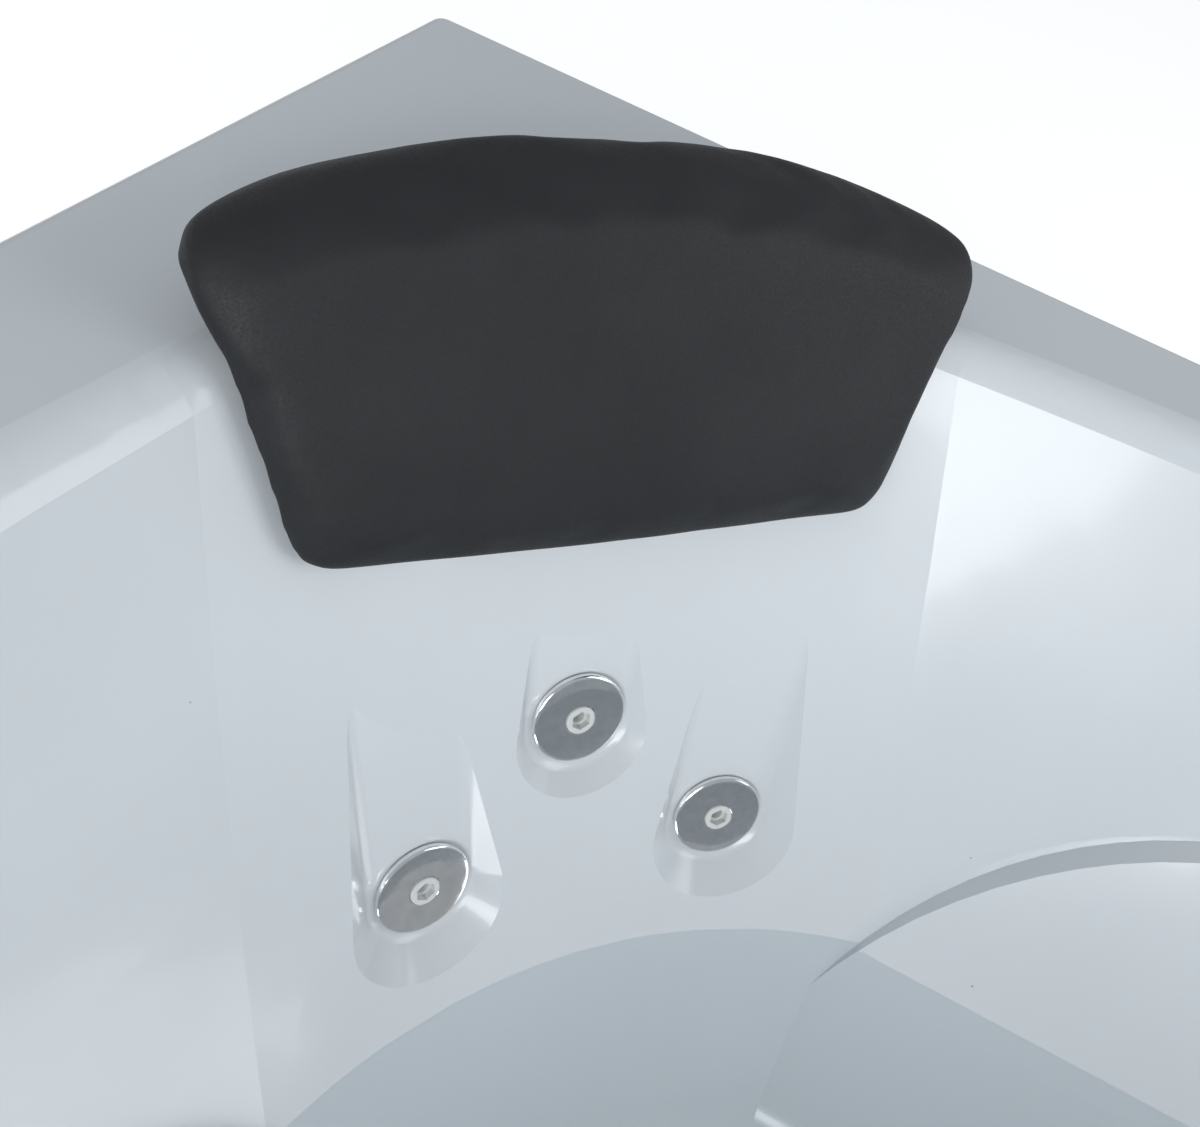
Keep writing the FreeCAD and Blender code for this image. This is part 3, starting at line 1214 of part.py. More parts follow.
button_bore = "button_cap_diameter / 2"
signal_out, signal_in = "signal_tube_diameter / 2", "signal_tube_diameter / 4"
button = turned("button_body", [
    (button_bore, "4"), ("control_diameter / 2 - 1", "4"), ("control_diameter / 2", "3"),
    ("control_diameter / 2", "0"), (collar, "0"), (collar, "-button_depth + 4"),
    (signal_out, "-button_depth + 4"), (signal_out, "-button_depth"), (signal_in, "-button_depth"),
    (signal_in, "-button_depth + 7"), (button_bore, "-button_depth + 7")])
button.Placement = Placement(button_spot, Rotation())
cap = turned("button_cap", [
    ("0", "-14"), (button_bore + " - seat_gap", "-14"), (button_bore + " - seat_gap", "6"),
    (button_bore + " - 1.5", "7.5"), (button_bore + " - 4", "6.8"), ("0", "6.2")])
cap.Placement = Placement(button_spot, Rotation())

box_top = size("pump_axis_height") + size("motor_radius") + 36
box_off = size("pump_off") + size("volute_depth") + 90
along, level = size("button_along"), deck - size("signal_tube_drop")
signal_route = [beside(1, along, size("button_off"), deck - size("button_depth")),
                beside(1, along, size("button_off"), level), beside(1, along, box_off, level),
                beside(1, along, box_off, box_top)]
tube_width = size("signal_tube_diameter")
solid_piece("signal_tube", pipe(signal_route, tube_width, tube_width / 4, 30))

# ---------------------------------------------------------------- drain and overflow

drain_place = Placement(drain_centre(floor_height), Rotation())
plug_guide, flange_wall = "plug_stem_diameter / 2 + running_gap", "drain_bore / 2 - thread_gap"
flange = turned("drain_flange", [
    (plug_guide, "-24"), (flange_wall, "-24"), (flange_wall, "0"), ("drain_diameter / 2", "0"),
    ("drain_diameter / 2", "1.5"), ("drain_diameter / 2 - 2", "3"), (flange_wall + " - 5.5", "3"),
    (flange_wall + " - 6.5", "2"), (flange_wall + " - 6.5", "-20"), (plug_guide, "-20")])
cut_discs(flange, [("4.5", "12", "0"), ("4.5", "-12", "0"), ("4.5", "0", "12"), ("4.5", "0", "-12")])
flange.Placement = drain_place
waste = "waste_pipe_diameter / 2"
trap = turned("drain_body", [
    ("0", "-drain_body_depth"), ("drain_body_radius", "-drain_body_depth"), ("drain_body_radius", "-14"),
    ("drain_diameter / 2 + 2", "-14"), ("drain_diameter / 2 + 2", "-shell_wall"), ("0", "-shell_wall")])
branches = (("YZ_Plane", "drain_branch_reach"), ("XZ_Plane", "waste_outlet_reach"))
for plane, reach in branches:
    sketch = new_sketch(trap, plane)
    disc(sketch, waste, "0", "-drain_branch_drop")
    feature(trap, "Pad", sketch, reach, back=True)
collar = new_sketch(trap, "XZ_Plane")
disc(collar, waste + " + waste_collar_wall", "0", "-drain_branch_drop")
feature(trap, "Pad", collar, "waste_collar_reach", back=True)
turned("drain_body", [
    ("0", "-shell_wall"), ("drain_bore / 2", "-shell_wall"), ("drain_bore / 2", "-drain_body_depth + 4"),
    ("0", "-drain_body_depth + 4")], trap, "Groove")
for (plane, reach), back in zip(branches, (False, True)):
    sketch = new_sketch(trap, plane)
    disc(sketch, waste + " - pipe_wall", "0", "-drain_branch_drop")
    feature(trap, "Pocket", sketch, reach, back=back)
trap.Placement = drain_place
plug = turned("drain_plug", [
    ("0", "-44"), ("plug_stem_diameter / 2", "-44"), ("plug_stem_diameter / 2", "3 + seat_gap"),
    ("22", "3 + seat_gap"), ("22", "5"), ("18", "8"), ("0", "9")])
plug.Placement = drain_place

overflow_place = overflow_frame()
dial_shaft = "overflow_shaft_diameter / 2"
dial_bore = dial_shaft + " + running_gap"
plate = turned("overflow_plate", [
    (dial_bore, "0"), ("overflow_diameter / 2 - 1", "0"), ("overflow_diameter / 2", "1"),
    ("overflow_diameter / 2", "3"), ("overflow_diameter / 2 - 3", "5"), (dial_bore, "5")])
plate.Placement = overflow_place
dial = turned("overflow_knob", [
    ("0", "-24"), (dial_shaft, "-24"), (dial_shaft, "5 + seat_gap"),
    ("overflow_knob_diameter / 2", "5 + seat_gap"), ("overflow_knob_diameter / 2", "14"),
    ("overflow_knob_diameter / 2 - 3", "18"), ("0", "20")])
finger_grips(dial, 6, "5", "overflow_knob_diameter / 2 + 2", "8")
dial.Placement = overflow_place
side_skin = "shell_wall * cos(side_lean) / cos(back_lean)"
stem = "overflow_stem / 2"
elbow = turned("overflow_body", [
    ("0", "-0.5"), (stem, "-0.5"), (stem, "-" + side_skin), (stem + " + 12", "-" + side_skin),
    (stem + " + 12", "-%s - 4" % side_skin), (stem + " + 3", "-%s - 4" % side_skin),
    (stem + " + 3", "-overflow_body_depth"), ("0", "-overflow_body_depth")])
sketch = new_sketch(elbow, "XZ_Plane")
disc(sketch, waste, "0", "-overflow_branch_depth")
feature(elbow, "Pad", sketch, "overflow_branch_reach")
turned("overflow_body", [
    ("0", "-0.5"), (stem + " - 3", "-0.5"), (stem + " - 3", "-12"), (stem, "-14"),
    (stem, "-overflow_body_depth + 3"), ("0", "-overflow_body_depth + 3")], elbow, "Groove")
sketch = new_sketch(elbow, "XZ_Plane")
disc(sketch, waste + " - pipe_wall", "0", "-overflow_branch_depth")
feature(elbow, "Pocket", sketch, "overflow_branch_reach", back=True)
elbow.Placement = overflow_place

branch_end = Vector(0, -size("overflow_branch_reach"), -size("overflow_branch_depth"))
overflow_start = overflow_place.multVec(branch_end)
down = overflow_place.Rotation.multVec(Vector(0, -1, 0))
drop_point = overflow_start + down * 30
drain_side = drain_centre(floor_height - size("drain_branch_drop")) - Vector(size("drain_branch_reach"), 0, 0)
low_point = Vector(drop_point.x, drop_point.y, drain_side.z)
overflow_route = [overflow_start, drop_point, low_point, drain_side - Vector(60, 0, 0), drain_side]
solid_piece("overflow_pipe", pipe(overflow_route, size("waste_pipe_diameter"), pipe_wall, 38))

# ---------------------------------------------------------------- checks and files

doc.recompute()
for item in doc.Objects:
    bad = [state for state in item.State if state in ("Invalid", "Error")]
    if bad:
        raise RuntimeError("%s is %s" % (item.Label, bad))
pieces = [item for item in doc.Objects if item.isDerivedFrom("Part::Feature") and item.Parents == []
          and not item.isDerivedFrom("PartDesign::Feature")
          and not item.isDerivedFrom("Sketcher::SketchObject")]
for piece in pieces:
    if piece.Shape.isNull() or not piece.Shape.isValid() or not piece.Shape.Solids:
        raise RuntimeError("%s has no valid solid" % piece.Label)
    piece.Shape.exportStep("parts/%s.step" % piece.Label)
print("pieces", len(pieces))
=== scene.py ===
import json
import math

import bpy
from mathutils import Matrix, Vector


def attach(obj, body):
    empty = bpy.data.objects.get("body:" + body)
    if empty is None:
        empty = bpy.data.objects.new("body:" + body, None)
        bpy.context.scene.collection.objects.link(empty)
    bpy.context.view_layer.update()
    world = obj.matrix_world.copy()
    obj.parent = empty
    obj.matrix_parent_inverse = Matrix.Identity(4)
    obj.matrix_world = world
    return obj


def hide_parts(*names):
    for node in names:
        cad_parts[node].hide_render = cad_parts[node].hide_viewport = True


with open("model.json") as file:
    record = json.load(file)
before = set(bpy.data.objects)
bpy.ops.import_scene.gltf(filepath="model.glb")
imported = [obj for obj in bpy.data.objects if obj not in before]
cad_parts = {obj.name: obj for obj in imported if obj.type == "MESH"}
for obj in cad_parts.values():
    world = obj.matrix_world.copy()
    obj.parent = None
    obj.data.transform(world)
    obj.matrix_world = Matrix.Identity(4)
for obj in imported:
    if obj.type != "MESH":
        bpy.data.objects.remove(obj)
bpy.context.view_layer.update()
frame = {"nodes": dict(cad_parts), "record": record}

nodes = frame["nodes"]

# ---------------------------------------------------------------- the tub's own measures, in metres

DECK_HEIGHT = 0.600
CORNER_Y = 0.7622
WATER_LEVEL = 0.290


def from_corner(x, y, drop):
    """Place given from the tub's corner on the deck: x right, y negative to the front, drop downwards."""
    return Vector((x, y + CORNER_Y, DECK_HEIGHT - drop))


# ---------------------------------------------------------------- camera

CAMERA_AT = from_corner(-0.2126, -0.6199, -0.2539)
CAMERA_AZIMUTH = math.radians(-37.2)
CAMERA_ELEVATION = math.radians(45.6)
CAMERA_ROLL = math.radians(21.3)
PHOTO_WIDTH, PHOTO_FOCUS = 1200, 1055.8  # in pixels
SENSOR_WIDTH = 36.0
NEAREST_SEEN = 0.02


def add_camera():
    """Camera over the basin, looking down into the corner, rolled as the photo is."""
    forward = Vector((-math.sin(CAMERA_AZIMUTH) * math.cos(CAMERA_ELEVATION),
                      math.cos(CAMERA_AZIMUTH) * math.cos(CAMERA_ELEVATION),
                      -math.sin(CAMERA_ELEVATION)))
    right = forward.cross(Vector((0, 0, 1))).normalized()
    up = right.cross(forward)
    rolled_right = right * math.cos(CAMERA_ROLL) + up * math.sin(CAMERA_ROLL)
    rolled_up = up * math.cos(CAMERA_ROLL) - right * math.sin(CAMERA_ROLL)
    turn = Matrix((rolled_right, rolled_up, -forward)).transposed()
    bpy.ops.object.camera_add(location=CAMERA_AT, rotation=turn.to_euler())
    camera = bpy.context.object
    camera.name = "photo_camera"
    camera.data.sensor_fit = "HORIZONTAL"
    camera.data.sensor_width = SENSOR_WIDTH
    camera.data.lens = SENSOR_WIDTH * PHOTO_FOCUS / PHOTO_WIDTH
    camera.data.clip_start = NEAREST_SEEN
    bpy.context.scene.camera = camera


add_camera()

# ---------------------------------------------------------------- material building blocks

PATCHES_PER_METRE = 14.0
SMEARS_PER_METRE = 60.0


def new_finish(name):
    """A material with its shader and the piece's own coordinates."""
    material = bpy.data.materials.new(name)
    material.use_nodes = True
    tree = material.node_tree
    shader = tree.nodes["Principled BSDF"]
    place = tree.nodes.new("ShaderNodeTexCoord")
    return material, tree, shader, place


def noise(tree, place, scale, detail=4.0, roughness=0.5):
    """Cloudy noise; scale is in clouds per metre."""
    texture = tree.nodes.new("ShaderNodeTexNoise")
    texture.inputs["Scale"].default_value = scale
    texture.inputs["Detail"].default_value = detail
    texture.inputs["Roughness"].default_value = roughness
    tree.links.new(place.outputs["Object"], texture.inputs["Vector"])
    return texture


def ramp(tree, source, stops):
    """Colours along a texture's value, as (position, colour) pairs."""
    band = tree.nodes.new("ShaderNodeValToRGB")
    while len(band.color_ramp.elements) < len(stops):
        band.color_ramp.elements.new(0.5)
    for element, (position, colour) in zip(band.color_ramp.elements, stops):
        element.position = position
        element.color = (*colour, 1.0)
    tree.links.new(source, band.inputs["Fac"])
    return band


def spread(tree, source, low, high, start=0.3, end=0.7):
    """A texture's value carried from start..end to low..high."""
    reach = tree.nodes.new("ShaderNodeMapRange")
    reach.inputs["From Min"].default_value = start
    reach.inputs["From Max"].default_value = end
    reach.inputs["To Min"].default_value = low
    reach.inputs["To Max"].default_value = high
    tree.links.new(source, reach.inputs["Value"])
    return reach


def relief(tree, source, distance, strength=1.0, before=None):
    """Bump from a texture's value; distance is the height in metres."""
    bump = tree.nodes.new("ShaderNodeBump")
    bump.inputs["Distance"].default_value = distance
    bump.inputs["Strength"].default_value = strength
    tree.links.new(source, bump.inputs["Height"])
    if before is not None:
        tree.links.new(before.outputs["Normal"], bump.inputs["Normal"])
    return bump


def moulded(name, colour, dark, roughness, grain_scale, grain_height, coat=0.0, metallic=0.0):
    """Moulded, painted or metal finish: two close colours in patches, uneven gloss and a fine grain."""
    material, tree, shader, place = new_finish(name)
    patches = noise(tree, place, PATCHES_PER_METRE)
    colours = ramp(tree, patches.outputs["Fac"], ((0.3, dark), (0.7, colour)))
    tree.links.new(colours.outputs["Color"], shader.inputs["Base Color"])
    smears = noise(tree, place, SMEARS_PER_METRE, 3.0)
    gloss = spread(tree, smears.outputs["Fac"], roughness * 0.85, roughness * 1.2)
    tree.links.new(gloss.outputs["Result"], shader.inputs["Roughness"])
    grain = noise(tree, place, grain_scale, 2.0)
    bump = relief(tree, grain.outputs["Fac"], grain_height)
    tree.links.new(bump.outputs["Normal"], shader.inputs["Normal"])
    shader.inputs["Metallic"].default_value = metallic
    shader.inputs["Coat Weight"].default_value = coat
    shader.inputs["Coat Roughness"].default_value = 0.08
    return material


# ---------------------------------------------------------------- finishes

def white_acrylic():
    """Cast acrylic: cool white, glossy, very gently uneven, with a few dust specks."""
    material, tree, shader, place = new_finish("white_acrylic")
    cloud = noise(tree, place, 5.0, 3.0)
    tint = ramp(tree, cloud.outputs["Fac"], ((0.3, (0.69, 0.725, 0.75)), (0.7, (0.72, 0.755, 0.78))))
    specks = tree.nodes.new("ShaderNodeTexVoronoi")
    specks.inputs["Scale"].default_value = 26.0
    tree.links.new(place.outputs["Object"], specks.inputs["Vector"])
    dots = spread(tree, specks.outputs["Distance"], 1.0, 0.0, 0.012, 0.022)
    dirt = tree.nodes.new("ShaderNodeMix")
    dirt.data_type = "RGBA"
    dirt.inputs["B"].default_value = (0.30, 0.31, 0.31, 1.0)
    tree.links.new(dots.outputs["Result"], dirt.inputs["Factor"])
    tree.links.new(tint.outputs["Color"], dirt.inputs["A"])
    tree.links.new(dirt.outputs["Result"], shader.inputs["Base Color"])
    film = noise(tree, place, 9.0, 5.0)
    gloss = spread(tree, film.outputs["Fac"], 0.16, 0.26)
    tree.links.new(gloss.outputs["Result"], shader.inputs["Roughness"])
    ripple = noise(tree, place, 7.0, 1.0)
    bump = relief(tree, ripple.outputs["Fac"], 0.0012, 0.35)
    tree.links.new(bump.outputs["Normal"], shader.inputs["Normal"])
    shader.inputs["IOR"].default_value = 1.49
    shader.inputs["Coat Weight"].default_value = 0.3
    shader.inputs["Coat Roughness"].default_value = 0.06
    return material


def black_foam():
    """Integral-skin foam: near black, matt, with a fine leathery grain."""
    material, tree, shader, place = new_finish("black_foam")
    cloud = noise(tree, place, 18.0, 4.0)
    tint = ramp(tree, cloud.outputs["Fac"], ((0.3, (0.013, 0.014, 0.016)), (0.7, (0.018, 0.019, 0.021))))
    tree.links.new(tint.outputs["Color"], shader.inputs["Base Color"])
    pores = noise(tree, place, 900.0, 3.0, 0.6)
    gloss = spread(tree, pores.outputs["Fac"], 0.52, 0.68)
    tree.links.new(gloss.outputs["Result"], shader.inputs["Roughness"])
    soft = noise(tree, place, 60.0, 2.0)
    swell = relief(tree, soft.outputs["Fac"], 0.0004, 0.5)
    grain = relief(tree, pores.outputs["Fac"], 0.00012, 0.8, swell)
    tree.links.new(grain.outputs["Normal"], shader.inputs["Normal"])
    shader.inputs["Specular IOR Level"].default_value = 0.4
    return material


def polished_chrome():
    """Plated plastic: bright, with water marks and fine wipe lines."""
    material, tree, shader, place = new_finish("polished_chrome")
    marks = noise(tree, place, 160.0, 6.0, 0.65)
    tint = ramp(tree, marks.outputs["Fac"], ((0.35, (0.80, 0.81, 0.81)), (0.6, (0.90, 0.91, 0.91))))
    tree.links.new(tint.outputs["Color"], shader.inputs["Base Color"])
    gloss = spread(tree, marks.outputs["Fac"], 0.14, 0.04, 0.35, 0.6)
    tree.links.new(gloss.outputs["Result"], shader.inputs["Roughness"])
    wipe = noise(tree, place, 45.0, 2.0)
    bump = relief(tree, wipe.outputs["Fac"], 0.0003, 0.4)
    tree.links.new(bump.outputs["Normal"], shader.inputs["Normal"])
    shader.inputs["Metallic"].default_value = 1.0
    return material


def sawn_board():
    """Raw particle board: warm brown chips."""
    material, tree, shader, place = new_finish("sawn_board")
    chips = tree.nodes.new("ShaderNodeTexVoronoi")
    chips.inputs["Scale"].default_value = 260.0
    tree.links.new(place.outputs["Object"], chips.inputs["Vector"])
    tint = ramp(tree, chips.outputs["Distance"], ((0.1, (0.30, 0.19, 0.10)), (0.6, (0.52, 0.36, 0.20))))
    tree.links.new(tint.outputs["Color"], shader.inputs["Base Color"])
    bump = relief(tree, chips.outputs["Distance"], 0.0005)
    tree.links.new(bump.outputs["Normal"], shader.inputs["Normal"])
    shader.inputs["Roughness"].default_value = 0.8
    return material


FINISHES = {
    "acrylic": white_acrylic(),
    "pillow_foam": black_foam(),
    "jet_chrome": polished_chrome(),
    "clear_rubber": moulded("milky_rubber", (0.50, 0.52, 0.52), (0.42, 0.44, 0.44), 0.35, 300.0, 0.0001),
    "jet_white": moulded("white_moulding", (0.74, 0.75, 0.74), (0.66, 0.67, 0.66), 0.32, 500.0, 0.00008),
    "pipe_pvc": moulded("white_pipe", (0.62, 0.63, 0.64), (0.54, 0.55, 0.56), 0.28, 400.0, 0.00005),
    "hose_clear": moulded("milky_hose", (0.50, 0.55, 0.58), (0.42, 0.47, 0.50), 0.3, 500.0, 0.00008),
    "seal_rubber": moulded("black_rubber", (0.02, 0.02, 0.02), (0.012, 0.012, 0.012), 0.7, 600.0, 0.0001),
    "board": sawn_board(),
    "frame_steel": moulded("galvanised_tube", (0.40, 0.41, 0.42), (0.30, 0.31, 0.32), 0.42, 90.0, 0.00005,
                           metallic=0.85),
    "foot_plastic": moulded("black_nylon", (0.03, 0.03, 0.03), (0.018, 0.018, 0.018), 0.5, 700.0, 0.0001),
    "zinc": moulded("zinc_plate", (0.50, 0.50, 0.47), (0.40, 0.40, 0.38), 0.35, 200.0, 0.00004,
                    metallic=0.9),
    "pump_black": moulded("black_moulding", (0.03, 0.03, 0.034), (0.02, 0.02, 0.022), 0.42, 800.0, 0.00012),
    "motor_paint": moulded("dark_motor_paint", (0.10, 0.11, 0.13), (0.07, 0.08, 0.09), 0.4, 300.0, 0.0002,
                           coat=0.2),
    "impeller_plastic": moulded("grey_nylon", (0.13, 0.13, 0.13), (0.09, 0.09, 0.09), 0.45, 500.0, 0.0001),
}

for part in frame["record"]["subparts"]:
    node = nodes[part["node"]]
    node.data.materials.clear()
    node.data.materials.append(FINISHES[part["material_slot"]])

# ---------------------------------------------------------------- modelling helpers

MM_PER_METRE = 1000
MERGE_CAD = 0.00002
MERGE_RINGS = 0.00001


def only(piece):
    """Selects one piece alone."""
    bpy.ops.object.select_all(action="DESELECT")
    piece.select_set(True)
    bpy.context.view_layer.objects.active = piece


def finish_modifier(piece, kind, **settings):
    """Adds a modifier to a piece, sets it and applies it."""
    only(piece)
    bpy.ops.object.modifier_add(type=kind)
    modifier = piece.modifiers[-1]
    for name, value in settings.items():
        setattr(modifier, name, value)
    bpy.ops.object.modifier_apply(modifier=modifier.name)


def merged_copy(node, name):
    """A free copy of a CAD node with its loose triangles merged."""
    piece = bpy.data.objects.new(name, nodes[node].data.copy())
    bpy.context.scene.collection.objects.link(piece)
    only(piece)
    bpy.ops.object.mode_set(mode="EDIT")
    bpy.ops.mesh.select_all(action="SELECT")
    bpy.ops.mesh.remove_doubles(threshold=MERGE_CAD)
    bpy.ops.object.mode_set(mode="OBJECT")
    return piece


def dress(piece, slot, body, *replaced):
    """Gives a piece its finish and body, and hides the CAD nodes it stands for."""
    piece.data.materials.clear()
    piece.data.materials.append(FINISHES[slot])
    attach(piece, body)
    if replaced:
        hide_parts(*replaced)


def turned_piece(name, rings, sides):
    """A turned shape with a hole: rings of (radius, height) in mm, drawn one from the last and closed."""
    radius, height = rings[0]
    bpy.ops.object.select_all(action="DESELECT")
    bpy.ops.mesh.primitive_circle_add(vertices=sides, radius=radius / MM_PER_METRE)
    piece = bpy.context.object
    piece.name = name
    bpy.ops.object.mode_set(mode="EDIT")
    bpy.ops.mesh.select_all(action="SELECT")
    bpy.ops.transform.translate(value=(0, 0, height / MM_PER_METRE))
    for next_radius, next_height in rings[1:] + rings[:1]:
        bpy.ops.mesh.extrude_edges_move()
        share = next_radius / radius
        bpy.ops.transform.resize(value=(share, share, 1), center_override=(0, 0, height / MM_PER_METRE))
        bpy.ops.transform.translate(value=(0, 0, (next_height - height) / MM_PER_METRE))
        radius, height = next_radius, next_height
    bpy.ops.mesh.select_all(action="SELECT")
    bpy.ops.mesh.remove_doubles(threshold=MERGE_RINGS)
    bpy.ops.mesh.normals_make_consistent(inside=False)
    bpy.ops.object.mode_set(mode="OBJECT")
    return piece


def smooth_by_angle(piece, degrees):
    """Shades a piece smooth, apart from edges sharper than the angle."""
    only(piece)
    bpy.ops.object.shade_smooth_by_angle(angle=math.radians(degrees))


# ---------------------------------------------------------------- head pillow

FOAM_VOXEL = 0.004
FOAM_ROUNDING = 14
FOAM_INSET = 0.0035
FOAM_SWELL = 0.0042
SWELL_ROUNDING = 10
FOAM_PRESSURE = 4.0
SWELL_STEPS = 20


def head_cushion():
    """Foam pillow: swollen a little between its corners, with its rolls softly rounded."""
    cushion = merged_copy("head_pillow", "head_cushion")
    finish_modifier(cushion, "REMESH", mode="VOXEL", voxel_size=FOAM_VOXEL)
    finish_modifier(cushion, "SMOOTH", factor=0.5, iterations=FOAM_ROUNDING)
    finish_modifier(cushion, "DISPLACE", strength=-FOAM_INSET, mid_level=0.0)
    press_out(cushion, FOAM_SWELL)
    finish_modifier(cushion, "SMOOTH", factor=0.5, iterations=SWELL_ROUNDING)
    finish_modifier(cushion, "SUBSURF", levels=1, render_levels=1)
    only(cushion)
    bpy.ops.object.shade_smooth()
    dress(cushion, "pillow_foam", "tub", "head_pillow")


def press_out(cushion, reach):
    """Swells a closed cushion from inside, each point by no more than reach."""
    before = [point.co.copy() for point in cushion.data.vertices]
    only(cushion)
    bpy.ops.object.modifier_add(type="CLOTH")
    cloth = cushion.modifiers[-1]
    cloth.settings.quality = 5
    cloth.settings.use_pressure = True
    cloth.settings.uniform_pressure_force = FOAM_PRESSURE
    cloth.settings.effector_weights.gravity = 0.0
    for step in range(1, SWELL_STEPS + 1):
        bpy.context.scene.frame_set(step)
    bpy.ops.object.modifier_apply(modifier=cloth.name)
    bpy.context.scene.frame_set(1)
    for point, start in zip(cushion.data.vertices, before):
        move = point.co - start
        if move.length > reach:
            point.co = start + move * (reach / move.length)


head_cushion()

# ---------------------------------------------------------------- jets

JET_LEAN = math.radians(24.0)
JET_TURN = math.radians(11.3)
SOCKET_ACROSS = 0.0095
SOCKET_MIDDLE = 0.0055
SOCKET_CUT = 0.008
SOCKET_EDGE = 0.00018
JETS = {
    "top": (from_corner(0.0, -0.3688, 0.193), 0.0),
    "left": (from_corner(-0.087, -0.4128, 0.255), JET_TURN),
    "right": (from_corner(0.087, -0.4128, 0.255), -JET_TURN),
}


def jet_place(side):
    """The jet's seat on the wall: across, up along the wall and out of it."""
    seat, turn = JETS[side]
    across = Vector((math.cos(turn), math.sin(turn), 0.0))
    level = math.cos(JET_LEAN)
    out = Vector((math.sin(turn) * level, -math.cos(turn) * level, math.sin(JET_LEAN)))
    up = out.cross(across)
    place = Matrix((across, up, out)).transposed().to_4x4()
    place.translation = seat
    return place


def jet_disc():
    """Flat plated disc with a rounded rim, a sharp step under it and a round seat for the screw."""
    seat = [(6.3, 2.5), (8.5, 2.5), (8.6, 2.7), (8.6, 4.3), (8.8, 4.5)]
    face = [(16.0, 4.5), (24.0, 4.5), (24.9, 4.38), (25.5, 4.05), (25.9, 3.5), (26.0, 2.9)]
    back = [(26.0, 1.7), (25.8, 1.2), (25.3, 0.85), (21.0, 0.8), (21.0, 0.0), (6.3, 0.0)]
    disc = turned_piece("jet_disc", seat + face + back, 96)
    smooth_by_angle(disc, 25)
    return disc


def jet_screw():
    """White hollow screw: round head with a hexagon socket down to a narrow bore."""
    stem = [(3.5, -14.0), (6.0, -14.0), (6.0, 2.5)]
    head = [(8.0, 2.5), (8.0, 4.9), (7.8, 5.25), (7.4, 5.45), (7.0, 5.5), (3.5, 5.5)]
    screw = turned_piece("jet_screw", stem + head, 72)
    bpy.ops.object.select_all(action="DESELECT")
    bpy.ops.mesh.primitive_cylinder_add(vertices=6, radius=SOCKET_ACROSS / math.sqrt(3.0), depth=SOCKET_CUT,
                                        location=(0, 0, SOCKET_MIDDLE))
    socket = bpy.context.object
    finish_modifier(screw, "BOOLEAN", operation="DIFFERENCE", object=socket)
    bpy.data.objects.remove(socket)
    finish_modifier(screw, "BEVEL", width=SOCKET_EDGE, segments=2, limit_method="ANGLE",
                    angle_limit=math.radians(50))
    smooth_by_angle(screw, 30)
    return screw


def set_jets():
    """One disc and one screw, copied to the three seats."""
    kinds = ((jet_disc(), "jet_disc_", "jet_chrome", "jet_cover_"),
             (jet_screw(), "jet_screw_", "jet_white", "jet_nozzle_"))
    for pattern, name, slot, node in kinds:
        for side in JETS:
            piece = bpy.data.objects.new(name + side, pattern.data.copy())
            bpy.context.scene.collection.objects.link(piece)
            piece.matrix_world = jet_place(side)
            only(piece)
            bpy.ops.object.transform_apply(location=True, rotation=True, scale=True)
            dress(piece, slot, "tub", node + side)
        bpy.data.objects.remove(pattern)


set_jets()

# ---------------------------------------------------------------- floor, backdrop, water and light

WHITE = (1.0, 1.0, 1.0, 1.0)
FLOOR_SIZE = 14.0
FLOOR_HEIGHT = -0.0005
FLOOR_GLOW = 0.6
SKY_STRENGTH = 0.44
WATER_OVERLAP = 1.0015
DAYLIGHT = (0.96, 0.98, 1.0)
BASIN_MIDDLE = (0, 0.2, 0.4)


def stage_white():
    """Pale floor that the camera and mirrors see as plain white where no shadow falls."""
    material, tree, shader, _ = new_finish("stage_white")
    shader.inputs["Base Color"].default_value = (0.80, 0.80, 0.80, 1.0)
    shader.inputs["Roughness"].default_value = 0.9
    shader.inputs["Specular IOR Level"].default_value = 0.0
    glow = tree.nodes.new("ShaderNodeEmission")
    rays = tree.nodes.new("ShaderNodeLightPath")
    seen = tree.nodes.new("ShaderNodeMath")
    seen.operation = "MAXIMUM"
    tree.links.new(rays.outputs["Is Camera Ray"], seen.inputs[0])
    tree.links.new(rays.outputs["Is Glossy Ray"], seen.inputs[1])
    share = tree.nodes.new("ShaderNodeMath")
    share.operation = "MULTIPLY"
    share.inputs[1].default_value = FLOOR_GLOW
    tree.links.new(seen.outputs[0], share.inputs[0])
    tree.links.new(share.outputs[0], glow.inputs["Strength"])
    both = tree.nodes.new("ShaderNodeAddShader")
    tree.links.new(shader.outputs["BSDF"], both.inputs[0])
    tree.links.new(glow.outputs["Emission"], both.inputs[1])
    tree.links.new(both.outputs["Shader"], tree.nodes["Material Output"].inputs["Surface"])
    return material


def add_stage():
    """A floor just under the feet."""
    bpy.ops.object.select_all(action="DESELECT")
    bpy.ops.mesh.primitive_plane_add(size=FLOOR_SIZE, location=(0, 0, FLOOR_HEIGHT))
    floor = bpy.context.object
    floor.name = "pale_floor"
    floor.data.materials.append(stage_white())


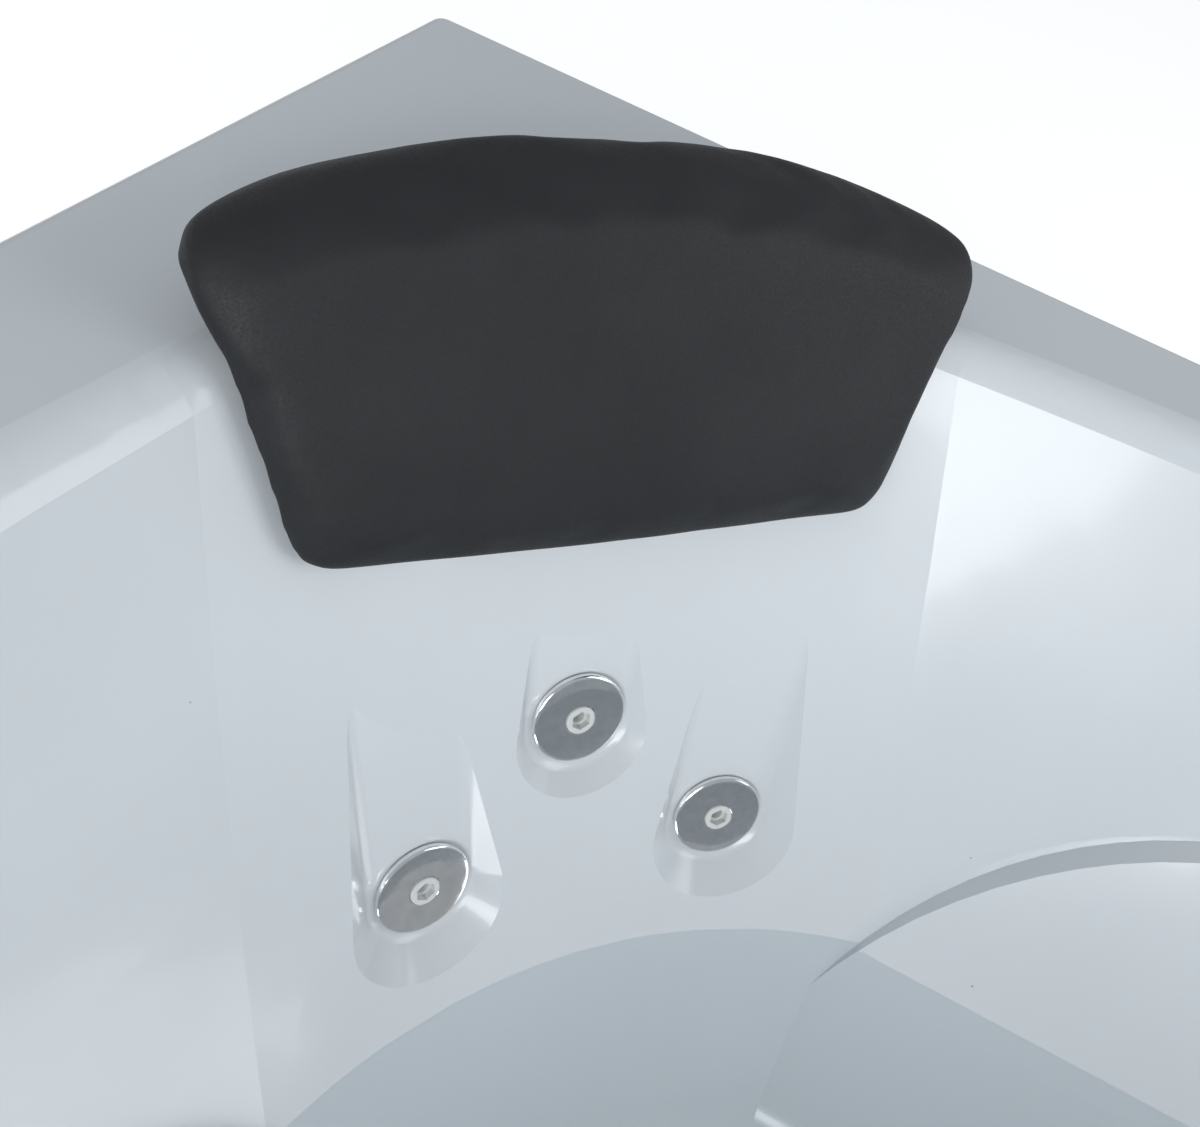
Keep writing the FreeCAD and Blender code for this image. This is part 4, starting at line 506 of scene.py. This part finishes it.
def still_water():
    """Clear water: a faint cool tint with a mirror that grows towards a flat view."""
    material, tree, shader, place = new_finish("still_water")
    clear = tree.nodes.new("ShaderNodeBsdfTransparent")
    clear.inputs["Color"].default_value = (0.965, 0.982, 0.99, 1.0)
    mirror = tree.nodes.new("ShaderNodeBsdfGlossy")
    mirror.inputs["Roughness"].default_value = 0.03
    waves = noise(tree, place, 6.0, 2.0)
    bump = relief(tree, waves.outputs["Fac"], 0.004, 0.4)
    tree.links.new(bump.outputs["Normal"], mirror.inputs["Normal"])
    rise = tree.nodes.new("ShaderNodeFresnel")
    rise.inputs["IOR"].default_value = 1.33
    tree.links.new(bump.outputs["Normal"], rise.inputs["Normal"])
    blend = tree.nodes.new("ShaderNodeMixShader")
    tree.links.new(rise.outputs["Fac"], blend.inputs["Fac"])
    tree.links.new(clear.outputs["BSDF"], blend.inputs[1])
    tree.links.new(mirror.outputs["BSDF"], blend.inputs[2])
    tree.links.new(blend.outputs["Shader"], tree.nodes["Material Output"].inputs["Surface"])
    tree.nodes.remove(shader)
    return material


def add_water():
    """The water's surface, filled up to the inner skin of the shell."""
    merged_copy("tub_shell", "bath_water")
    bpy.ops.object.mode_set(mode="EDIT")
    bpy.ops.mesh.select_all(action="SELECT")
    bpy.ops.mesh.bisect(plane_co=(0, 0, WATER_LEVEL), plane_no=(0, 0, 1),
                        clear_inner=True, clear_outer=True)
    bpy.ops.mesh.select_all(action="SELECT")
    bpy.ops.mesh.separate(type="LOOSE")
    bpy.ops.object.mode_set(mode="OBJECT")
    outlines = sorted(bpy.context.selected_objects, key=lambda outline: -outline.dimensions.x)
    surface = outlines.pop(1)
    for outline in outlines:
        bpy.data.objects.remove(outline)
    only(surface)
    bpy.ops.object.mode_set(mode="EDIT")
    bpy.ops.mesh.select_all(action="SELECT")
    bpy.ops.mesh.edge_face_add()
    bpy.ops.transform.resize(value=(WATER_OVERLAP, WATER_OVERLAP, 1))
    bpy.ops.object.mode_set(mode="OBJECT")
    surface.data.materials.clear()
    surface.data.materials.append(still_water())


def add_sky():
    """Soft room light, seen by the camera as white."""
    world = bpy.data.worlds.new("soft_room")
    bpy.context.scene.world = world
    world.use_nodes = True
    tree = world.node_tree
    light = tree.nodes["Background"]
    light.inputs["Color"].default_value = (0.90, 0.95, 1.0, 1.0)
    light.inputs["Strength"].default_value = SKY_STRENGTH
    white = tree.nodes.new("ShaderNodeBackground")
    white.inputs["Color"].default_value = WHITE
    rays = tree.nodes.new("ShaderNodeLightPath")
    blend = tree.nodes.new("ShaderNodeMixShader")
    tree.links.new(rays.outputs["Is Camera Ray"], blend.inputs["Fac"])
    tree.links.new(light.outputs["Background"], blend.inputs[1])
    tree.links.new(white.outputs["Background"], blend.inputs[2])
    tree.links.new(blend.outputs["Shader"], tree.nodes["World Output"].inputs["Surface"])


def add_soft_light(name, place, size, power):
    """A wide lamp aimed at the basin, like daylight from a window."""
    aim = (Vector(BASIN_MIDDLE) - Vector(place)).to_track_quat("-Z", "Y")
    bpy.ops.object.light_add(type="AREA", location=place, rotation=aim.to_euler())
    lamp = bpy.context.object
    lamp.name = name
    lamp.data.shape = "RECTANGLE"
    lamp.data.size, lamp.data.size_y = size
    lamp.data.energy = power
    lamp.data.color = DAYLIGHT


add_stage()
add_water()
add_sky()
add_soft_light("front_window", (-2.0, -3.0, 1.7), (2.6, 1.6), 95.0)
add_soft_light("right_fill", (2.6, -1.6, 1.8), (2.0, 2.0), 28.0)

bpy.context.scene.view_settings.view_transform = "Standard"
